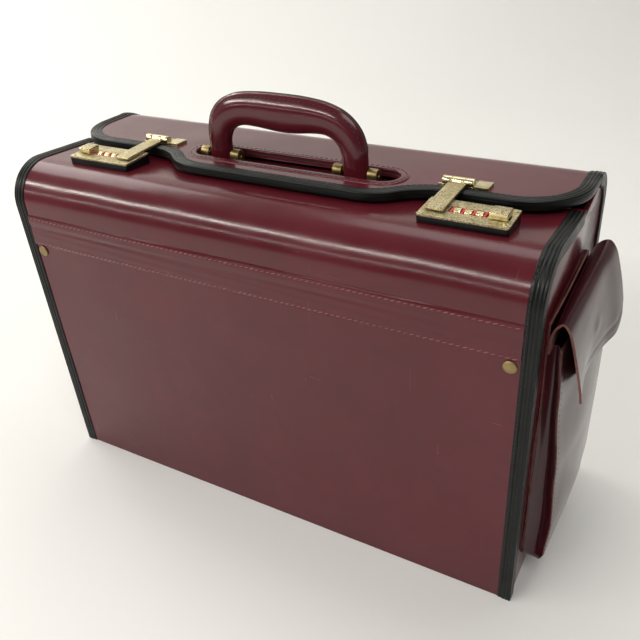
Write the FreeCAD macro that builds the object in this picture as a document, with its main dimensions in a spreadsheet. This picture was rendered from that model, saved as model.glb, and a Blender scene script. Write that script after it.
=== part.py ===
import FreeCAD, Part
import Sketcher
import math
import os

from FreeCAD import Placement, Rotation, Vector

# Doctor bag: a box-shaped leather case with a lid hinged at the rear top edge and a curved
# front section hinged on a stitched band. Millimetres. +X runs along the case to the pocket
# end, +Y to the rear, +Z up. The origin is the centre of the base, on the floor.

doc = FreeCAD.newDocument("doctor_bag")
sheet = doc.addObject("Spreadsheet::Sheet", "sizes")

DRIVING_SIZES = [
    # case
    ("case_length", 450.0),
    ("case_depth", 171.0),
    ("lid_hinge_height", 301.0),
    ("lid_hinge_y", 56.5),
    ("wall", 4.0),
    ("rear_radius", 29.0),
    ("end_recess", 1.4),
    # black edge binding
    ("binding_width", 10.5),
    ("binding_skin", 1.0),
    ("binding_side", 9.0),
    # front section that folds at the stitched band
    ("flap_hinge_height", 243.0),
    ("hinge_gap", 0.3),
    ("band_bottom", 231.0),
    ("band_skin", 0.8),
    ("flap_board", 4.5),
    ("shoulder_radius", 32.0),
    ("shoulder_centre_height", 265.5),
    ("flap_slope_deg", 5.2),
    ("flap_reach", 68.0),
    # lid
    ("lid_tilt_deg", 2.3),
    ("lid_board", 5.5),
    ("lid_side_reach", 69.5),
    ("lid_tongue_reach", 95.0),
    ("lid_corner_radius", 48.0),
    ("tongue_centre", 5.0),
    ("tongue_half", 70.0),
    ("tongue_sweep", 60.0),
    ("slot_length", 181.0),
    ("slot_width", 25.0),
    ("slot_reach", 57.0),
    ("slot_rim_width", 6.5),
    # handle
    ("handle_x", -1.5),
    ("handle_pivot_y", -0.5),
    ("handle_pivot_z", 302.0),
    ("handle_span", 143.0),
    ("handle_rise", 53.0),
    ("handle_leg", 20.5),
    ("grip_depth", 26.5),
    ("handle_thickness", 13.6),
    ("pin_radius", 1.5),
    ("pin_clearance", 0.05),
    ("ear_thickness", 7.5),
    # combination locks
    ("lock_length", 62.0),
    ("lock_front_y", -53.5),
    ("lock_depth", 28.5),
    ("lock_base_top", 302.3),
    ("lock_plate_thickness", 1.4),
    ("lock_right_x", 160.5),
    ("lock_left_x", -150.8),
    ("dial_radius", 3.7),
    ("dial_width", 4.6),
    ("dial_pitch", 7.5),
    ("dial_axis_height", 301.3),
    ("axle_radius", 0.8),
    ("button_travel", 3.5),
    # hasps
    ("hasp_axis_y", 0.5),
    ("hasp_axis_z", 305.9),
    ("hasp_barrel_radius", 3.2),
    ("hasp_pin_radius", 1.2),
    ("hasp_width", 13.0),
    ("hasp_middle_knuckle", 9.5),
    ("hasp_outer_knuckle", 6.5),
    # outside pocket on the right-hand end
    ("pocket_front_y", -60.5),
    ("pocket_width", 108.0),
    ("pocket_bottom", 20.0),
    ("pocket_mouth", 228.0),
    ("pocket_depth", 18.0),
    ("pocket_skin", 1.5),
    ("pocket_corner", 16.0),
    ("pocket_flap_hinge_x", 237.0),
    ("pocket_flap_hinge_z", 253.5),
]

for row, (alias, value) in enumerate(DRIVING_SIZES, start=1):
    sheet.set("A%d" % row, alias)
    sheet.set("B%d" % row, str(value))
    sheet.setAlias("B%d" % row, alias)
doc.recompute()


def size(alias):
    """Value of a driving dimension, in millimetres or degrees."""
    return float(sheet.get(alias))


# Values worked out once from the driving dimensions.
HALF_LENGTH = size("case_length") / 2
HALF_DEPTH = size("case_depth") / 2
WALL = size("wall")
SKIN = size("binding_skin")
WALL_END = HALF_LENGTH - SKIN
END_FACE = HALF_LENGTH - size("end_recess")
REAR_RADIUS = size("rear_radius")
REAR_CENTRE = (HALF_DEPTH - REAR_RADIUS, size("lid_hinge_height") - SKIN - REAR_RADIUS)
SHOULDER_RADIUS = size("shoulder_radius")
SHOULDER_CENTRE = (-HALF_DEPTH + SHOULDER_RADIUS, size("shoulder_centre_height"))
FLAP_SLOPE = size("flap_slope_deg")
FLAP_START = size("flap_hinge_height") + size("hinge_gap")
HANDLE_X = size("handle_x")
PIVOT = (size("handle_pivot_y"), size("handle_pivot_z"))
LOCKS = {"right": (size("lock_right_x"), 1.0), "left": (size("lock_left_x"), -1.0)}
LOCK_PLATE_TOP = size("lock_base_top") + size("lock_plate_thickness")
HASP_OFFSET = -21.0
DIAL_OFFSETS = (-7.0, -7.0 + size("dial_pitch"), -7.0 + 2 * size("dial_pitch"))
DIAL_WINDOW = (-12.8, 14.0)
LOCK_MID_Y = size("lock_front_y") + size("lock_depth") / 2


# ---------------------------------------------------------------- outlines
# An outline is a list of steps: a point (u, v), or an arc made by arc(). Straight lines
# join one step to the next, and the last step back to the first.


def polar(centre, radius, degrees):
    angle = math.radians(degrees)
    return (centre[0] + radius * math.cos(angle), centre[1] + radius * math.sin(angle))


def arc(centre, radius, start, end):
    return ("arc", centre, radius, start, end)


def step_ends(step):
    if step[0] != "arc":
        return step, step
    centre, radius, start, end = step[1:]
    return polar(centre, radius, start), polar(centre, radius, end)


def backwards(steps):
    turned = []
    for step in reversed(steps):
        if step[0] == "arc":
            turned.append(arc(step[1], step[2], step[4], step[3]))
        else:
            turned.append(step)
    return turned


def outline(steps):
    """Closed loop of sketch curves through the steps."""
    curves = []
    last = step_ends(steps[-1])[1]
    for step in steps:
        first, end = step_ends(step)
        if math.dist(last, first) > 1e-6:
            curves.append(Part.LineSegment(Vector(*last, 0), Vector(*first, 0)))
        if step[0] == "arc":
            circle_curve = Part.Circle(Vector(*step[1], 0), Vector(0, 0, 1), step[2])
            low, high = sorted((math.radians(step[3]), math.radians(step[4])))
            curves.append(Part.ArcOfCircle(circle_curve, low, high))
        last = end
    return curves


def rectangle(u0, v0, u1, v1):
    return outline([(u0, v0), (u1, v0), (u1, v1), (u0, v1)])


def rounded_rectangle(u0, v0, u1, v1, radius):
    return outline([
        arc((u0 + radius, v0 + radius), radius, 180, 270),
        arc((u1 - radius, v0 + radius), radius, 270, 360),
        arc((u1 - radius, v1 - radius), radius, 0, 90),
        arc((u0 + radius, v1 - radius), radius, 90, 180),
    ])


def circle(u, v, radius):
    return [Part.Circle(Vector(u, v, 0), Vector(0, 0, 1), radius)]


def stadium(u, v, length, width):
    radius = width / 2
    reach = length / 2 - radius
    return outline([
        arc((u + reach, v), radius, -90, 90),
        arc((u - reach, v), radius, 90, 270),
    ])


# ---------------------------------------------------------------- document objects


def new_body(label):
    body = doc.addObject("PartDesign::Body", label)
    body.Label = label
    return body


def origin_plane(body, role):
    return [item for item in body.Origin.OriginFeatures if item.Role == role][0]


def add_sketch(body, role, loops, start):
    """Sketch on one of the body's origin planes, moved along its normal by start."""
    sketch = body.newObject("Sketcher::SketchObject", body.Label + "_sketch")
    sketch.AttachmentSupport = [(origin_plane(body, role), "")]
    sketch.MapMode = "FlatFace"
    sketch.setExpression("AttachmentOffset.Base.z", str(start))
    for loop in loops:
        sketch.addGeometry(loop, False)
    return sketch


def pad(body, role, loops, start, length):
    """Pad along the plane's normal: +X for YZ_Plane, -Y for XZ_Plane, +Z for XY_Plane."""
    feature = body.newObject("PartDesign::Pad", body.Label + "_pad")
    feature.Profile = add_sketch(body, role, loops, start)
    feature.setExpression("Length", str(length))
    body.Tip = feature
    return feature


def pocket(body, role, loops, start, length):
    """Cut against the plane's normal, from start down by length."""
    doc.recompute()
    before = body.Shape.Volume
    feature = body.newObject("PartDesign::Pocket", body.Label + "_pocket")
    feature.Profile = add_sketch(body, role, loops, start)
    feature.setExpression("Length", str(length))
    body.Tip = feature
    doc.recompute()
    if body.Shape.Volume > before - 0.01:
        raise RuntimeError("pocket in %s cut nothing" % body.Label)
    return feature


def prism(label, role, loops, start, length):
    body = new_body(label)
    pad(body, role, loops, start, length)
    return body


def box(label, corner, length, width, height):
    """Part::Box whose corner and sides are numbers or expressions."""
    item = doc.addObject("Part::Box", label)
    item.Label = label
    for prop, value in zip(("Length", "Width", "Height"), (length, width, height)):
        item.setExpression(prop, str(value))
    for axis_name, value in zip("xyz", corner):
        item.setExpression("Placement.Base." + axis_name, str(value))
    return item


def rod(label, centre, direction, radius, length):
    """Cylinder from centre along direction."""
    item = doc.addObject("Part::Cylinder", label)
    item.Label = label
    item.setExpression("Radius", str(radius))
    item.setExpression("Height", str(length))
    item.Placement = Placement(Vector(*centre), Rotation(Vector(0, 0, 1), Vector(*direction)))
    return item


def join(label, pieces):
    """One object from several: touching pieces fuse, separate ones stay separate solids."""
    item = doc.addObject("Part::MultiFuse", label)
    item.Label = label
    item.Shapes = pieces
    return item


def cut(label, base, tool):
    item = doc.addObject("Part::Cut", label)
    item.Label = label
    item.Base = base
    item.Tool = tool
    return item


NODES = []


def keep(item):
    """Mark an object as a sub-part that gets its own file."""
    NODES.append(item)
    return item


# ---------------------------------------------------------------- case walls


def rear_steps(offset):
    """Rear wall line from the floor over the rounded top corner to the lid hinge."""
    return [(HALF_DEPTH + offset, 0.0), arc(REAR_CENTRE, REAR_RADIUS + offset, 0, 90)]


def ring(steps_at, outer, inner):
    return outline(steps_at(outer) + backwards(steps_at(inner)))


def flap_point(along, offset):
    """Point on the sloping top of the front section: along from the shoulder, offset outwards."""
    start = polar(SHOULDER_CENTRE, SHOULDER_RADIUS + offset, 90 - FLAP_SLOPE)
    slope = math.radians(FLAP_SLOPE)
    return (start[0] + along * math.cos(slope), start[1] - along * math.sin(slope))


def flap_steps(offset):
    """Front section line from the hinge band over the shoulder to its rear edge."""
    return [
        (-HALF_DEPTH - offset, FLAP_START),
        arc(SHOULDER_CENTRE, SHOULDER_RADIUS + offset, 180, 90 - FLAP_SLOPE),
        flap_point(size("flap_reach"), offset),
    ]


def case_walls():
    span = "sizes.case_length - 2 * sizes.binding_skin"
    inner_length = "sizes.case_length - 2 * (sizes.end_recess + sizes.wall)"
    inner_depth = "sizes.case_depth - 2 * sizes.wall"
    keep(box("bottom_panel",
             ("-(%s) / 2" % inner_length, "-(%s) / 2" % inner_depth, 0),
             inner_length, inner_depth, "sizes.wall"))
    keep(box("base_board",
             ("-sizes.case_length / 2 + 8", "-sizes.case_depth / 2 + 6.5", "sizes.wall"),
             "sizes.case_length - 16", "sizes.case_depth - 13", 2.5))

    rivet_x = HALF_LENGTH - 17
    rivet_z = size("band_bottom") - 6.5
    wall_loops = [
        rectangle(-WALL_END, 0, WALL_END, size("flap_hinge_height")),
        circle(-rivet_x, rivet_z, 1.5),
        circle(rivet_x, rivet_z, 1.5),
    ]
    keep(prism("front_wall", "XZ_Plane", wall_loops, "sizes.case_depth / 2 - sizes.wall", "sizes.wall"))

    rivets = []
    for side in (-1, 1):
        for radius, start, length in ((4.75, 0.0, 1.1), (1.45, -WALL, WALL), (4.0, -WALL - 0.8, 0.8)):
            front = (side * rivet_x, -HALF_DEPTH - start, rivet_z)
            rivets.append(rod("rivet_piece", front, (0, -1, 0), radius, length))
    keep(join("corner_rivets", rivets))

    keep(prism("rear_wall", "YZ_Plane", [ring(rear_steps, 0, -WALL)], "-(%s) / 2" % span, span))

    shoulder_gap = size("flap_board") + 0.6
    end_steps = [
        (-HALF_DEPTH + WALL, 0.0),
        (HALF_DEPTH - WALL, 0.0),
        arc(REAR_CENTRE, REAR_RADIUS - WALL, 0, 62),
        (size("lid_hinge_y") - 2, 291.2),
        flap_point(size("flap_reach") + 4, -shoulder_gap),
        flap_point(0, -shoulder_gap),
        arc(SHOULDER_CENTRE, SHOULDER_RADIUS - shoulder_gap, 90 - FLAP_SLOPE, 180),
        (-HALF_DEPTH + shoulder_gap, size("flap_hinge_height") - 6),
        (-HALF_DEPTH + WALL, size("flap_hinge_height") - 7),
    ]
    keep(prism("end_panel_right", "YZ_Plane", [outline(end_steps)],
               "sizes.case_length / 2 - sizes.end_recess - sizes.wall", "sizes.wall"))
    keep(prism("end_panel_left", "YZ_Plane", [outline(end_steps)],
               "-sizes.case_length / 2 + sizes.end_recess", "sizes.wall"))

    keep(box("front_hinge_band",
             ("-sizes.case_length / 2 + sizes.binding_width",
              "-sizes.case_depth / 2 - sizes.band_skin",
              "sizes.band_bottom"),
             "sizes.case_length - 2 * sizes.binding_width",
             "sizes.band_skin",
             "sizes.flap_hinge_height - sizes.band_bottom"))


# ---------------------------------------------------------------- black edge binding


def side_binding(label, steps_at, side):
    """Binding along an end edge: a face flange and a side flange that meet at the corner."""
    body = new_body(label)
    if side > 0:
        face_start = "sizes.case_length / 2 - sizes.binding_width"
        lip_start = "sizes.case_length / 2 - sizes.binding_skin"
    else:
        face_start = "-sizes.case_length / 2"
        lip_start = "-sizes.case_length / 2"
    pad(body, "YZ_Plane", [ring(steps_at, SKIN, 0)], face_start, "sizes.binding_width")
    pad(body, "YZ_Plane", [ring(steps_at, SKIN, -size("binding_side"))], lip_start, "sizes.binding_skin")
    return keep(body)


def front_wall_steps(offset):
    return [(-HALF_DEPTH - offset, 0.0), (-HALF_DEPTH - offset, size("flap_hinge_height"))]


def case_bindings():
    for name, side in (("left", -1), ("right", 1)):
        side_binding("binding_front_" + name, front_wall_steps, side)
        side_binding("binding_rear_" + name, rear_steps, side)


# ---------------------------------------------------------------- front section


def front_section():
    for name, side in (("left", -1), ("right", 1)):
        side_binding("binding_flap_" + name, flap_steps, side)

    reach = size("flap_reach")
    lip = 8.0
    under = -size("flap_board")
    rear_channel = [
        flap_point(reach - lip, SKIN),
        flap_point(reach + SKIN, SKIN),
        flap_point(reach + SKIN, under - SKIN),
        flap_point(reach - lip, under - SKIN),
        flap_point(reach - lip, under),
        flap_point(reach, under),
        flap_point(reach, 0),
        flap_point(reach - lip, 0),
    ]
    keep(prism("binding_flap_rear", "YZ_Plane", [outline(rear_channel)],
               "-sizes.case_length / 2 + sizes.binding_width + 0.5",
               "sizes.case_length - 2 * sizes.binding_width - 1"))

    span = "sizes.case_length - 2 * sizes.binding_skin"
    panel = prism("flap_shell", "YZ_Plane", [ring(flap_steps, 0, under)], "-(%s) / 2" % span, span)
    rivet_xs = [HANDLE_X + offset for offset in (-38.0, -13.0, 13.0, 38.0)]
    floor_z = flap_point(0, 0)[1] - 16
    holes = [rod("rivet_hole", (x, PIVOT[0], floor_z), (0, 0, 1), 2.05, 20) for x in rivet_xs]
    keep(cut("flap_panel", panel, join("rivet_holes", holes)))

    along = (PIVOT[0] - flap_point(0, 0)[0]) / math.cos(math.radians(FLAP_SLOPE))
    plate_thickness = 1.5
    half_width = 7.8
    base_section = [
        flap_point(along - half_width, 0),
        flap_point(along + half_width, 0),
        flap_point(along + half_width, plate_thickness),
        flap_point(along - half_width, plate_thickness),
    ]
    base = prism("handle_base_solid", "YZ_Plane", [outline(base_section)],
                 "sizes.handle_x - 84", 168)
    ear_radius = 4.6
    for offset in (-75.9, -46.7, 46.7, 75.9):
        foot = flap_point(along, plate_thickness / 2)[1]
        ear = [
            (PIVOT[0] + ear_radius, foot),
            arc(PIVOT, ear_radius, 0, 180),
            (PIVOT[0] - ear_radius, foot),
        ]
        bore = circle(PIVOT[0], PIVOT[1], size("pin_radius") + size("pin_clearance"))
        pad(base, "YZ_Plane", [outline(ear), bore],
            "sizes.handle_x + %s - sizes.ear_thickness / 2" % offset, "sizes.ear_thickness")
    bores = [rod("base_hole", (x, PIVOT[0], floor_z), (0, 0, 1), 2.05, 25) for x in rivet_xs]
    keep(cut("handle_base", base, join("base_holes", bores)))

    backing_section = [
        flap_point(along - half_width, under - plate_thickness),
        flap_point(along + half_width, under - plate_thickness),
        flap_point(along + half_width, under),
        flap_point(along - half_width, under),
    ]
    backing = prism("backing_solid", "YZ_Plane", [outline(backing_section)],
                    "sizes.handle_x - 92", 184)
    backing_holes = [rod("backing_hole", (x, PIVOT[0], floor_z), (0, 0, 1), 2.05, 20) for x in rivet_xs]
    keep(cut("handle_backing_plate", backing, join("backing_holes", backing_holes)))

    rivets = []
    head_base = flap_point(along, plate_thickness)[1] + 0.3
    shank_base = flap_point(along, under - 1.5)[1] - 0.6
    for x in rivet_xs:
        rivets.append(rod("shank", (x, PIVOT[0], shank_base), (0, 0, 1), 2.0, head_base - shank_base))
        rivets.append(rod("head", (x, PIVOT[0], head_base), (0, 0, 1), 3.2, 0.9))
        rivets.append(rod("tail", (x, PIVOT[0], shank_base - 0.8), (0, 0, 1), 3.6, 0.8))
    keep(join("handle_rivets", rivets))


# ---------------------------------------------------------------- handle


def arch(outer_half, top, leg, depth, corner, inner_corner, foot):
    """Upright handle outline in X and Z, centred on the handle, standing on its two feet."""
    inner_half = outer_half - leg
    crown = top - depth
    return [
        (-outer_half, foot),
        (-inner_half, foot),
        arc((-inner_half + inner_corner, crown - inner_corner), inner_corner, 180, 90),
        arc((inner_half - inner_corner, crown - inner_corner), inner_corner, 90, 0),
        (inner_half, foot),
        (outer_half, foot),
        arc((outer_half - corner, top - corner), corner, 0, 90),
        arc((-outer_half + corner, top - corner), corner, 90, 180),
    ]


def shifted(steps, du):
    moved = []
    for step in steps:
        if step[0] == "arc":
            moved.append(arc((step[1][0] + du, step[1][1]), *step[2:]))
        else:
            moved.append((step[0] + du, step[1]))
    return moved


def handle():
    outer_half = size("handle_span") / 2
    top = PIVOT[1] + size("handle_rise")
    foot = PIVOT[1] - 4.2
    grip_steps = arch(outer_half, top, size("handle_leg"), size("grip_depth"), 34.0, 9.0, foot)
    core_inset = 8.0
    core_steps = arch(outer_half - core_inset, top - core_inset, 4.5, 4.5, 26.0, 21.5, foot + 1.2)
    start = -PIVOT[0] - size("handle_thickness") / 2
    grip = prism("grip_solid", "XZ_Plane", [outline(shifted(grip_steps, HANDLE_X))],
                 start, "sizes.handle_thickness")
    core = prism("handle_core", "XZ_Plane", [outline(shifted(core_steps, HANDLE_X))],
                 -PIVOT[0] - 3.5, 7)
    doc.recompute()
    grip_pad = grip.Tip
    rounded = grip.newObject("PartDesign::Fillet", "grip_rounding")
    long_edges = []
    for number, edge in enumerate(grip.Shape.Edges, start=1):
        if edge.BoundBox.YLength < 0.01:
            long_edges.append("Edge%d" % number)
    rounded.Base = (grip_pad, long_edges)
    rounded.Radius = 5.0
    grip.Tip = rounded
    doc.recompute()

    bores = []
    pin_reach = 13.0
    for side in (-1, 1):
        x = HANDLE_X + side * (outer_half - size("handle_leg") / 2) - pin_reach
        bores.append(rod("pin_bore", (x, PIVOT[0], PIVOT[1]), (1, 0, 0),
                         "sizes.pin_radius + sizes.pin_clearance", 2 * pin_reach))
    bore_set = join("pin_bores", bores)
    keep(cut("handle_frame", core, bore_set))
    keep(cut("handle_grip", grip, join("grip_hollow", [core, bore_set])))

    pins = []
    for side in (-1, 1):
        start_x = HANDLE_X + side * 61.3 - 18.0
        pins.append(rod("pin", (start_x, PIVOT[0], PIVOT[1]), (1, 0, 0), "sizes.pin_radius", 36.0))
    keep(join("handle_pins", pins))


# ---------------------------------------------------------------- lid
# Lid pieces are drawn flat with the hinge line as X and the lid lying towards -Y, then
# turned about X by the lid's small tilt and moved to the hinge.

LID_PLACEMENT = Placement(
    Vector(0, size("lid_hinge_y"), size("lid_hinge_height")),
    Rotation(Vector(1, 0, 0), -size("lid_tilt_deg")),
)


def lid_steps(inset):
    """Lid edge from the right end of the hinge round the front to the left end."""
    hinge_clearance = 0.4
    corner = size("lid_corner_radius")
    side_y = -size("lid_side_reach")
    tongue_y = -size("lid_tongue_reach")
    drop = side_y - tongue_y
    sweep = size("tongue_sweep")
    turn = 2 * math.degrees(math.atan2(drop, sweep))
    bend = sweep / (2 * math.sin(math.radians(turn)))
    centre = size("tongue_centre")
    half = size("tongue_half")

    def half_outline(side, middle):
        outer_x = side * HALF_LENGTH
        corner_centre = (outer_x - side * corner, side_y + corner)
        start_angle, end_angle = (0, -90) if side > 0 else (180, 270)
        hollow = (middle + side * (half + sweep), side_y - bend)
        crest = (middle + side * half, tongue_y + bend)
        return [
            (outer_x - side * inset, -hinge_clearance),
            arc(corner_centre, corner - inset, start_angle, end_angle),
            arc(hollow, bend + inset, 90, 90 + side * turn),
            arc(crest, bend - inset, 270 + side * turn, 270),
        ]

    return half_outline(1, centre) + backwards(half_outline(-1, centre))


def in_lid(body):
    body.Placement = LID_PLACEMENT
    return body


def lid():
    board_top = -SKIN
    slot = stadium(4.5, -size("slot_reach"), size("slot_length"), size("slot_width"))
    keep(in_lid(prism("lid_panel", "XY_Plane", [outline(lid_steps(SKIN)), slot],
                      "-sizes.binding_skin - sizes.lid_board", "sizes.lid_board")))

    binding = new_body("lid_binding")
    top_flange = outline(lid_steps(0) + backwards(lid_steps(size("binding_width"))))
    wall_ring = outline(lid_steps(0) + backwards(lid_steps(SKIN)))
    pad(binding, "XY_Plane", [top_flange], "-sizes.binding_skin", "sizes.binding_skin")
    pad(binding, "XY_Plane", [wall_ring], "-sizes.binding_skin - sizes.lid_board",
        "sizes.lid_board + sizes.binding_skin")
    pad(binding, "XY_Plane", [top_flange], "-2 * sizes.binding_skin - sizes.lid_board",
        "sizes.binding_skin")
    keep(in_lid(binding))

    rim = size("slot_rim_width")
    rim_loop = stadium(4.5, -size("slot_reach"), size("slot_length") + 2 * rim,
                       size("slot_width") + 2 * rim)
    keep(in_lid(prism("slot_rim", "XY_Plane", [rim_loop, slot], board_top, 0.8)))


# ---------------------------------------------------------------- hasps
# Each hasp has a leaf riveted to the lid with two outer knuckles, and an arm with the
# middle knuckle that swings down over the lock.


def lid_leather(y):
    """Height of the lid leather's top face at a distance along Y."""
    tilt = math.radians(size("lid_tilt_deg"))
    return size("lid_hinge_height") + (size("lid_hinge_y") - y) * math.tan(tilt) - SKIN / math.cos(tilt)


def hasp(name):
    lock_x, side = LOCKS[name]
    arm_x = lock_x + side * HASP_OFFSET
    axis = (size("hasp_axis_y"), size("hasp_axis_z"))
    radius = size("hasp_barrel_radius")
    bore = circle(axis[0], axis[1], size("hasp_pin_radius") + 0.06)
    knuckle = size("hasp_outer_knuckle")
    middle = size("hasp_middle_knuckle") / 2
    knuckle_gap = 0.2
    barrel_half = middle + knuckle_gap + knuckle

    leaf = new_body("hasp_leaf_" + name)
    seat = 0.05
    leaf_thickness = 1.3
    leaf_start = axis[0] + radius + 0.5
    leaf_end = axis[0] + 10.5

    def on_lid(near, far, thickness):
        """Flat piece lying on the lid leather, as an outline in Y and Z."""
        return outline([
            (near, lid_leather(near) + seat),
            (far, lid_leather(far) + seat),
            (far, lid_leather(far) + seat + thickness),
            (near, lid_leather(near) + seat + thickness),
        ])

    leaf_section = outline([
        (axis[0], lid_leather(axis[0]) + seat),
        (leaf_end, lid_leather(leaf_end) + seat),
        (leaf_end, lid_leather(leaf_end) + seat + leaf_thickness),
        (leaf_start, lid_leather(leaf_start) + seat + leaf_thickness),
        (axis[0] + radius, axis[1]),
        arc(axis, radius, 0, 180),
        arc(axis, radius, 180, 265),
    ])
    for start in (arm_x - barrel_half, arm_x + middle + knuckle_gap):
        pad(leaf, "YZ_Plane", [leaf_section, bore], start, knuckle)
    behind_binding = axis[0] - 2.7
    foot = on_lid(behind_binding, axis[0] - 0.5, leaf_thickness)
    foot_overhang = 3.0
    pad(leaf, "YZ_Plane", [foot], arm_x - barrel_half - foot_overhang, knuckle + foot_overhang)
    pad(leaf, "YZ_Plane", [foot], arm_x + middle + knuckle_gap, knuckle)
    block_length = 10.5
    strip = on_lid(leaf_start, leaf_end, leaf_thickness)
    pad(leaf, "YZ_Plane", [strip], arm_x - barrel_half, 2 * barrel_half + block_length / 2)
    block = on_lid(behind_binding, leaf_end, 2.2)
    pad(leaf, "YZ_Plane", [block], arm_x + barrel_half - knuckle_gap, block_length)
    keep(leaf)

    keep(rod("hasp_pin_" + name, (arm_x - barrel_half, *axis), (1, 0, 0), "sizes.hasp_pin_radius",
             2 * barrel_half))

    arm = new_body("hasp_arm_" + name)
    half = size("hasp_width") / 2
    pad(arm, "YZ_Plane", [circle(axis[0], axis[1], radius), bore], arm_x - middle, "sizes.hasp_middle_knuckle")
    tip_y = size("lock_front_y") + 7
    plate_gap = 0.6
    under_z = LOCK_PLATE_TOP + plate_gap
    neck_y = axis[0] - radius - 0.7
    neck = outline([
        (axis[0] - 2.0, under_z),
        (axis[0] - 2.0, axis[1] + 0.5),
        (neck_y - 1.0, axis[1] + 0.5),
        (neck_y - 1.0, under_z),
    ])
    pad(arm, "YZ_Plane", [neck], arm_x - middle, "sizes.hasp_middle_knuckle")
    strap = outline([
        (neck_y, under_z),
        (neck_y, axis[1] + 0.5),
        (tip_y + 3, under_z + 2.2),
        (tip_y, under_z + 1.6),
        (tip_y, under_z),
    ])
    pad(arm, "YZ_Plane", [strap], arm_x - half, "sizes.hasp_width")
    hook = rectangle(LOCK_MID_Y - 1.5, under_z - 4.2, LOCK_MID_Y + 1.5, under_z + 1)
    pad(arm, "YZ_Plane", [hook], arm_x - 2.5, 5)
    keep(arm)


# ---------------------------------------------------------------- combination locks


def lock(name):
    centre_x, side = LOCKS[name]
    front = size("lock_front_y")
    rear = front + size("lock_depth")
    base_top = size("lock_base_top")
    half = size("lock_length") / 2

    def window(s0, s1, y_half):
        edges = sorted((centre_x + side * s0, centre_x + side * s1))
        return rectangle(edges[0], LOCK_MID_Y - y_half, edges[1], LOCK_MID_Y + y_half)

    base = new_body("lock_base_" + name)
    seat = 0.05
    rear_along = (rear - flap_point(0, 0)[0]) / math.cos(math.radians(FLAP_SLOPE))
    section = outline([
        (front, SHOULDER_CENTRE[1] + SHOULDER_RADIUS + seat),
        (flap_point(0, 0)[0], flap_point(0, 0)[1] + 2 * seat),
        (rear, flap_point(rear_along, 0)[1] + seat),
        (rear, base_top),
        (front, base_top),
    ])
    pad(base, "YZ_Plane", [section], centre_x - half, "sizes.lock_length")
    pocket(base, "XY_Plane", [window(*DIAL_WINDOW, 5.0)], "sizes.lock_base_top", 5.0)
    pocket(base, "XY_Plane", [window(15.5, 30.0, 5.5)], "sizes.lock_base_top", 3.0)
    hook_window = window(HASP_OFFSET - 4.5, HASP_OFFSET + 4.5, 5.0)
    pocket(base, "XY_Plane", [hook_window], "sizes.lock_base_top", 4.4)
    keep(base)

    screw_spots = [(s, y) for s in (-half + 2.6, half - 2.6) for y in (front + 2.8, rear - 2.8)]
    plate_loops = [
        rounded_rectangle(centre_x - half, front, centre_x + half, rear, 1.5),
        window(*DIAL_WINDOW, 4.3),
        window(18.0, 28.2, 2.9),
        window(HASP_OFFSET - 4.0, HASP_OFFSET + 4.0, 4.6),
    ]
    for s, y in screw_spots:
        plate_loops.append(circle(centre_x + side * s, y, 1.1))
    keep(prism("lock_plate_" + name, "XY_Plane", plate_loops, "sizes.lock_base_top",
               "sizes.lock_plate_thickness"))

    axle_length = DIAL_WINDOW[1] - DIAL_WINDOW[0] - 0.4
    axle_start = centre_x + min(side * (DIAL_WINDOW[0] + 0.2), side * (DIAL_WINDOW[1] - 0.2))
    keep(rod("dial_axle_" + name, (axle_start, LOCK_MID_Y, size("dial_axis_height")), (1, 0, 0),
             "sizes.axle_radius", axle_length))

    spacer_bore = circle(LOCK_MID_Y, size("dial_axis_height"), size("axle_radius") + 0.03)
    spacer_top = LOCK_PLATE_TOP + 0.2
    spacer_loop = rectangle(LOCK_MID_Y - 3.9, base_top - 4.95, LOCK_MID_Y + 3.9, spacer_top)
    first = DIAL_OFFSETS[0] - size("dial_pitch") / 2
    plates = []
    for number in range(len(DIAL_OFFSETS) + 1):
        s = first + number * size("dial_pitch")
        label = "spacer_%s_%d" % (name, number + 1)
        plates.append(prism(label, "YZ_Plane", [spacer_loop, spacer_bore], centre_x + side * s - 0.9, 1.8))
    keep(join("dial_spacers_" + name, plates))

    tooth_count = 20
    dial_axis = (LOCK_MID_Y, size("dial_axis_height"))
    rim_points = []
    for number in range(2 * tooth_count):
        tooth_radius = size("dial_radius") if number % 2 else size("dial_radius") - 0.35
        rim_points.append(polar(dial_axis, tooth_radius, number * 180 / tooth_count))
    dial_bore = circle(LOCK_MID_Y, size("dial_axis_height"), size("axle_radius") + 0.05)
    for number, s in enumerate(DIAL_OFFSETS, start=1):
        keep(prism("dial_%s_%d" % (name, number), "YZ_Plane", [outline(rim_points), dial_bore],
                   "%s - sizes.dial_width / 2" % (centre_x + side * s), "sizes.dial_width"))

    button = new_body("lock_button_" + name)

    def block(s0, s1, y_half, z0, height):
        pad(button, "XY_Plane", [window(s0, s1, y_half)], z0, height)

    block(16.2, 24.5, 4.6, base_top - 2.7, 2.5)
    block(18.6, 23.8, 2.5, base_top - 2.7, LOCK_PLATE_TOP + 0.4 - base_top + 2.7)
    block(15.5, 27.5, 6.0, LOCK_PLATE_TOP + 0.3, 4.4)
    keep(button)
    return [(centre_x + side * s, y) for s, y in screw_spots]


def lock_screws(spots):
    pieces = []
    for x, y in spots:
        pieces.append(rod("screw_head", (x, y, LOCK_PLATE_TOP), (0, 0, 1), 1.7, 0.3))
        pieces.append(rod("screw_shank", (x, y, size("lock_base_top")), (0, 0, 1), 1.05,
                          size("lock_plate_thickness")))
    keep(join("lock_screws", pieces))


# ---------------------------------------------------------------- outside pocket


def pocket_outline(inset, top):
    """Pocket panel outline in Y and Z with rounded lower corners."""
    near = size("pocket_front_y") + inset
    far = size("pocket_front_y") + size("pocket_width") - inset
    low = size("pocket_bottom") + inset
    corner = size("pocket_corner") - inset
    return [
        (near, top),
        arc((near + corner, low + corner), corner, 180, 270),
        arc((far - corner, low + corner), corner, 270, 360),
        (far, top),
    ]


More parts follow.
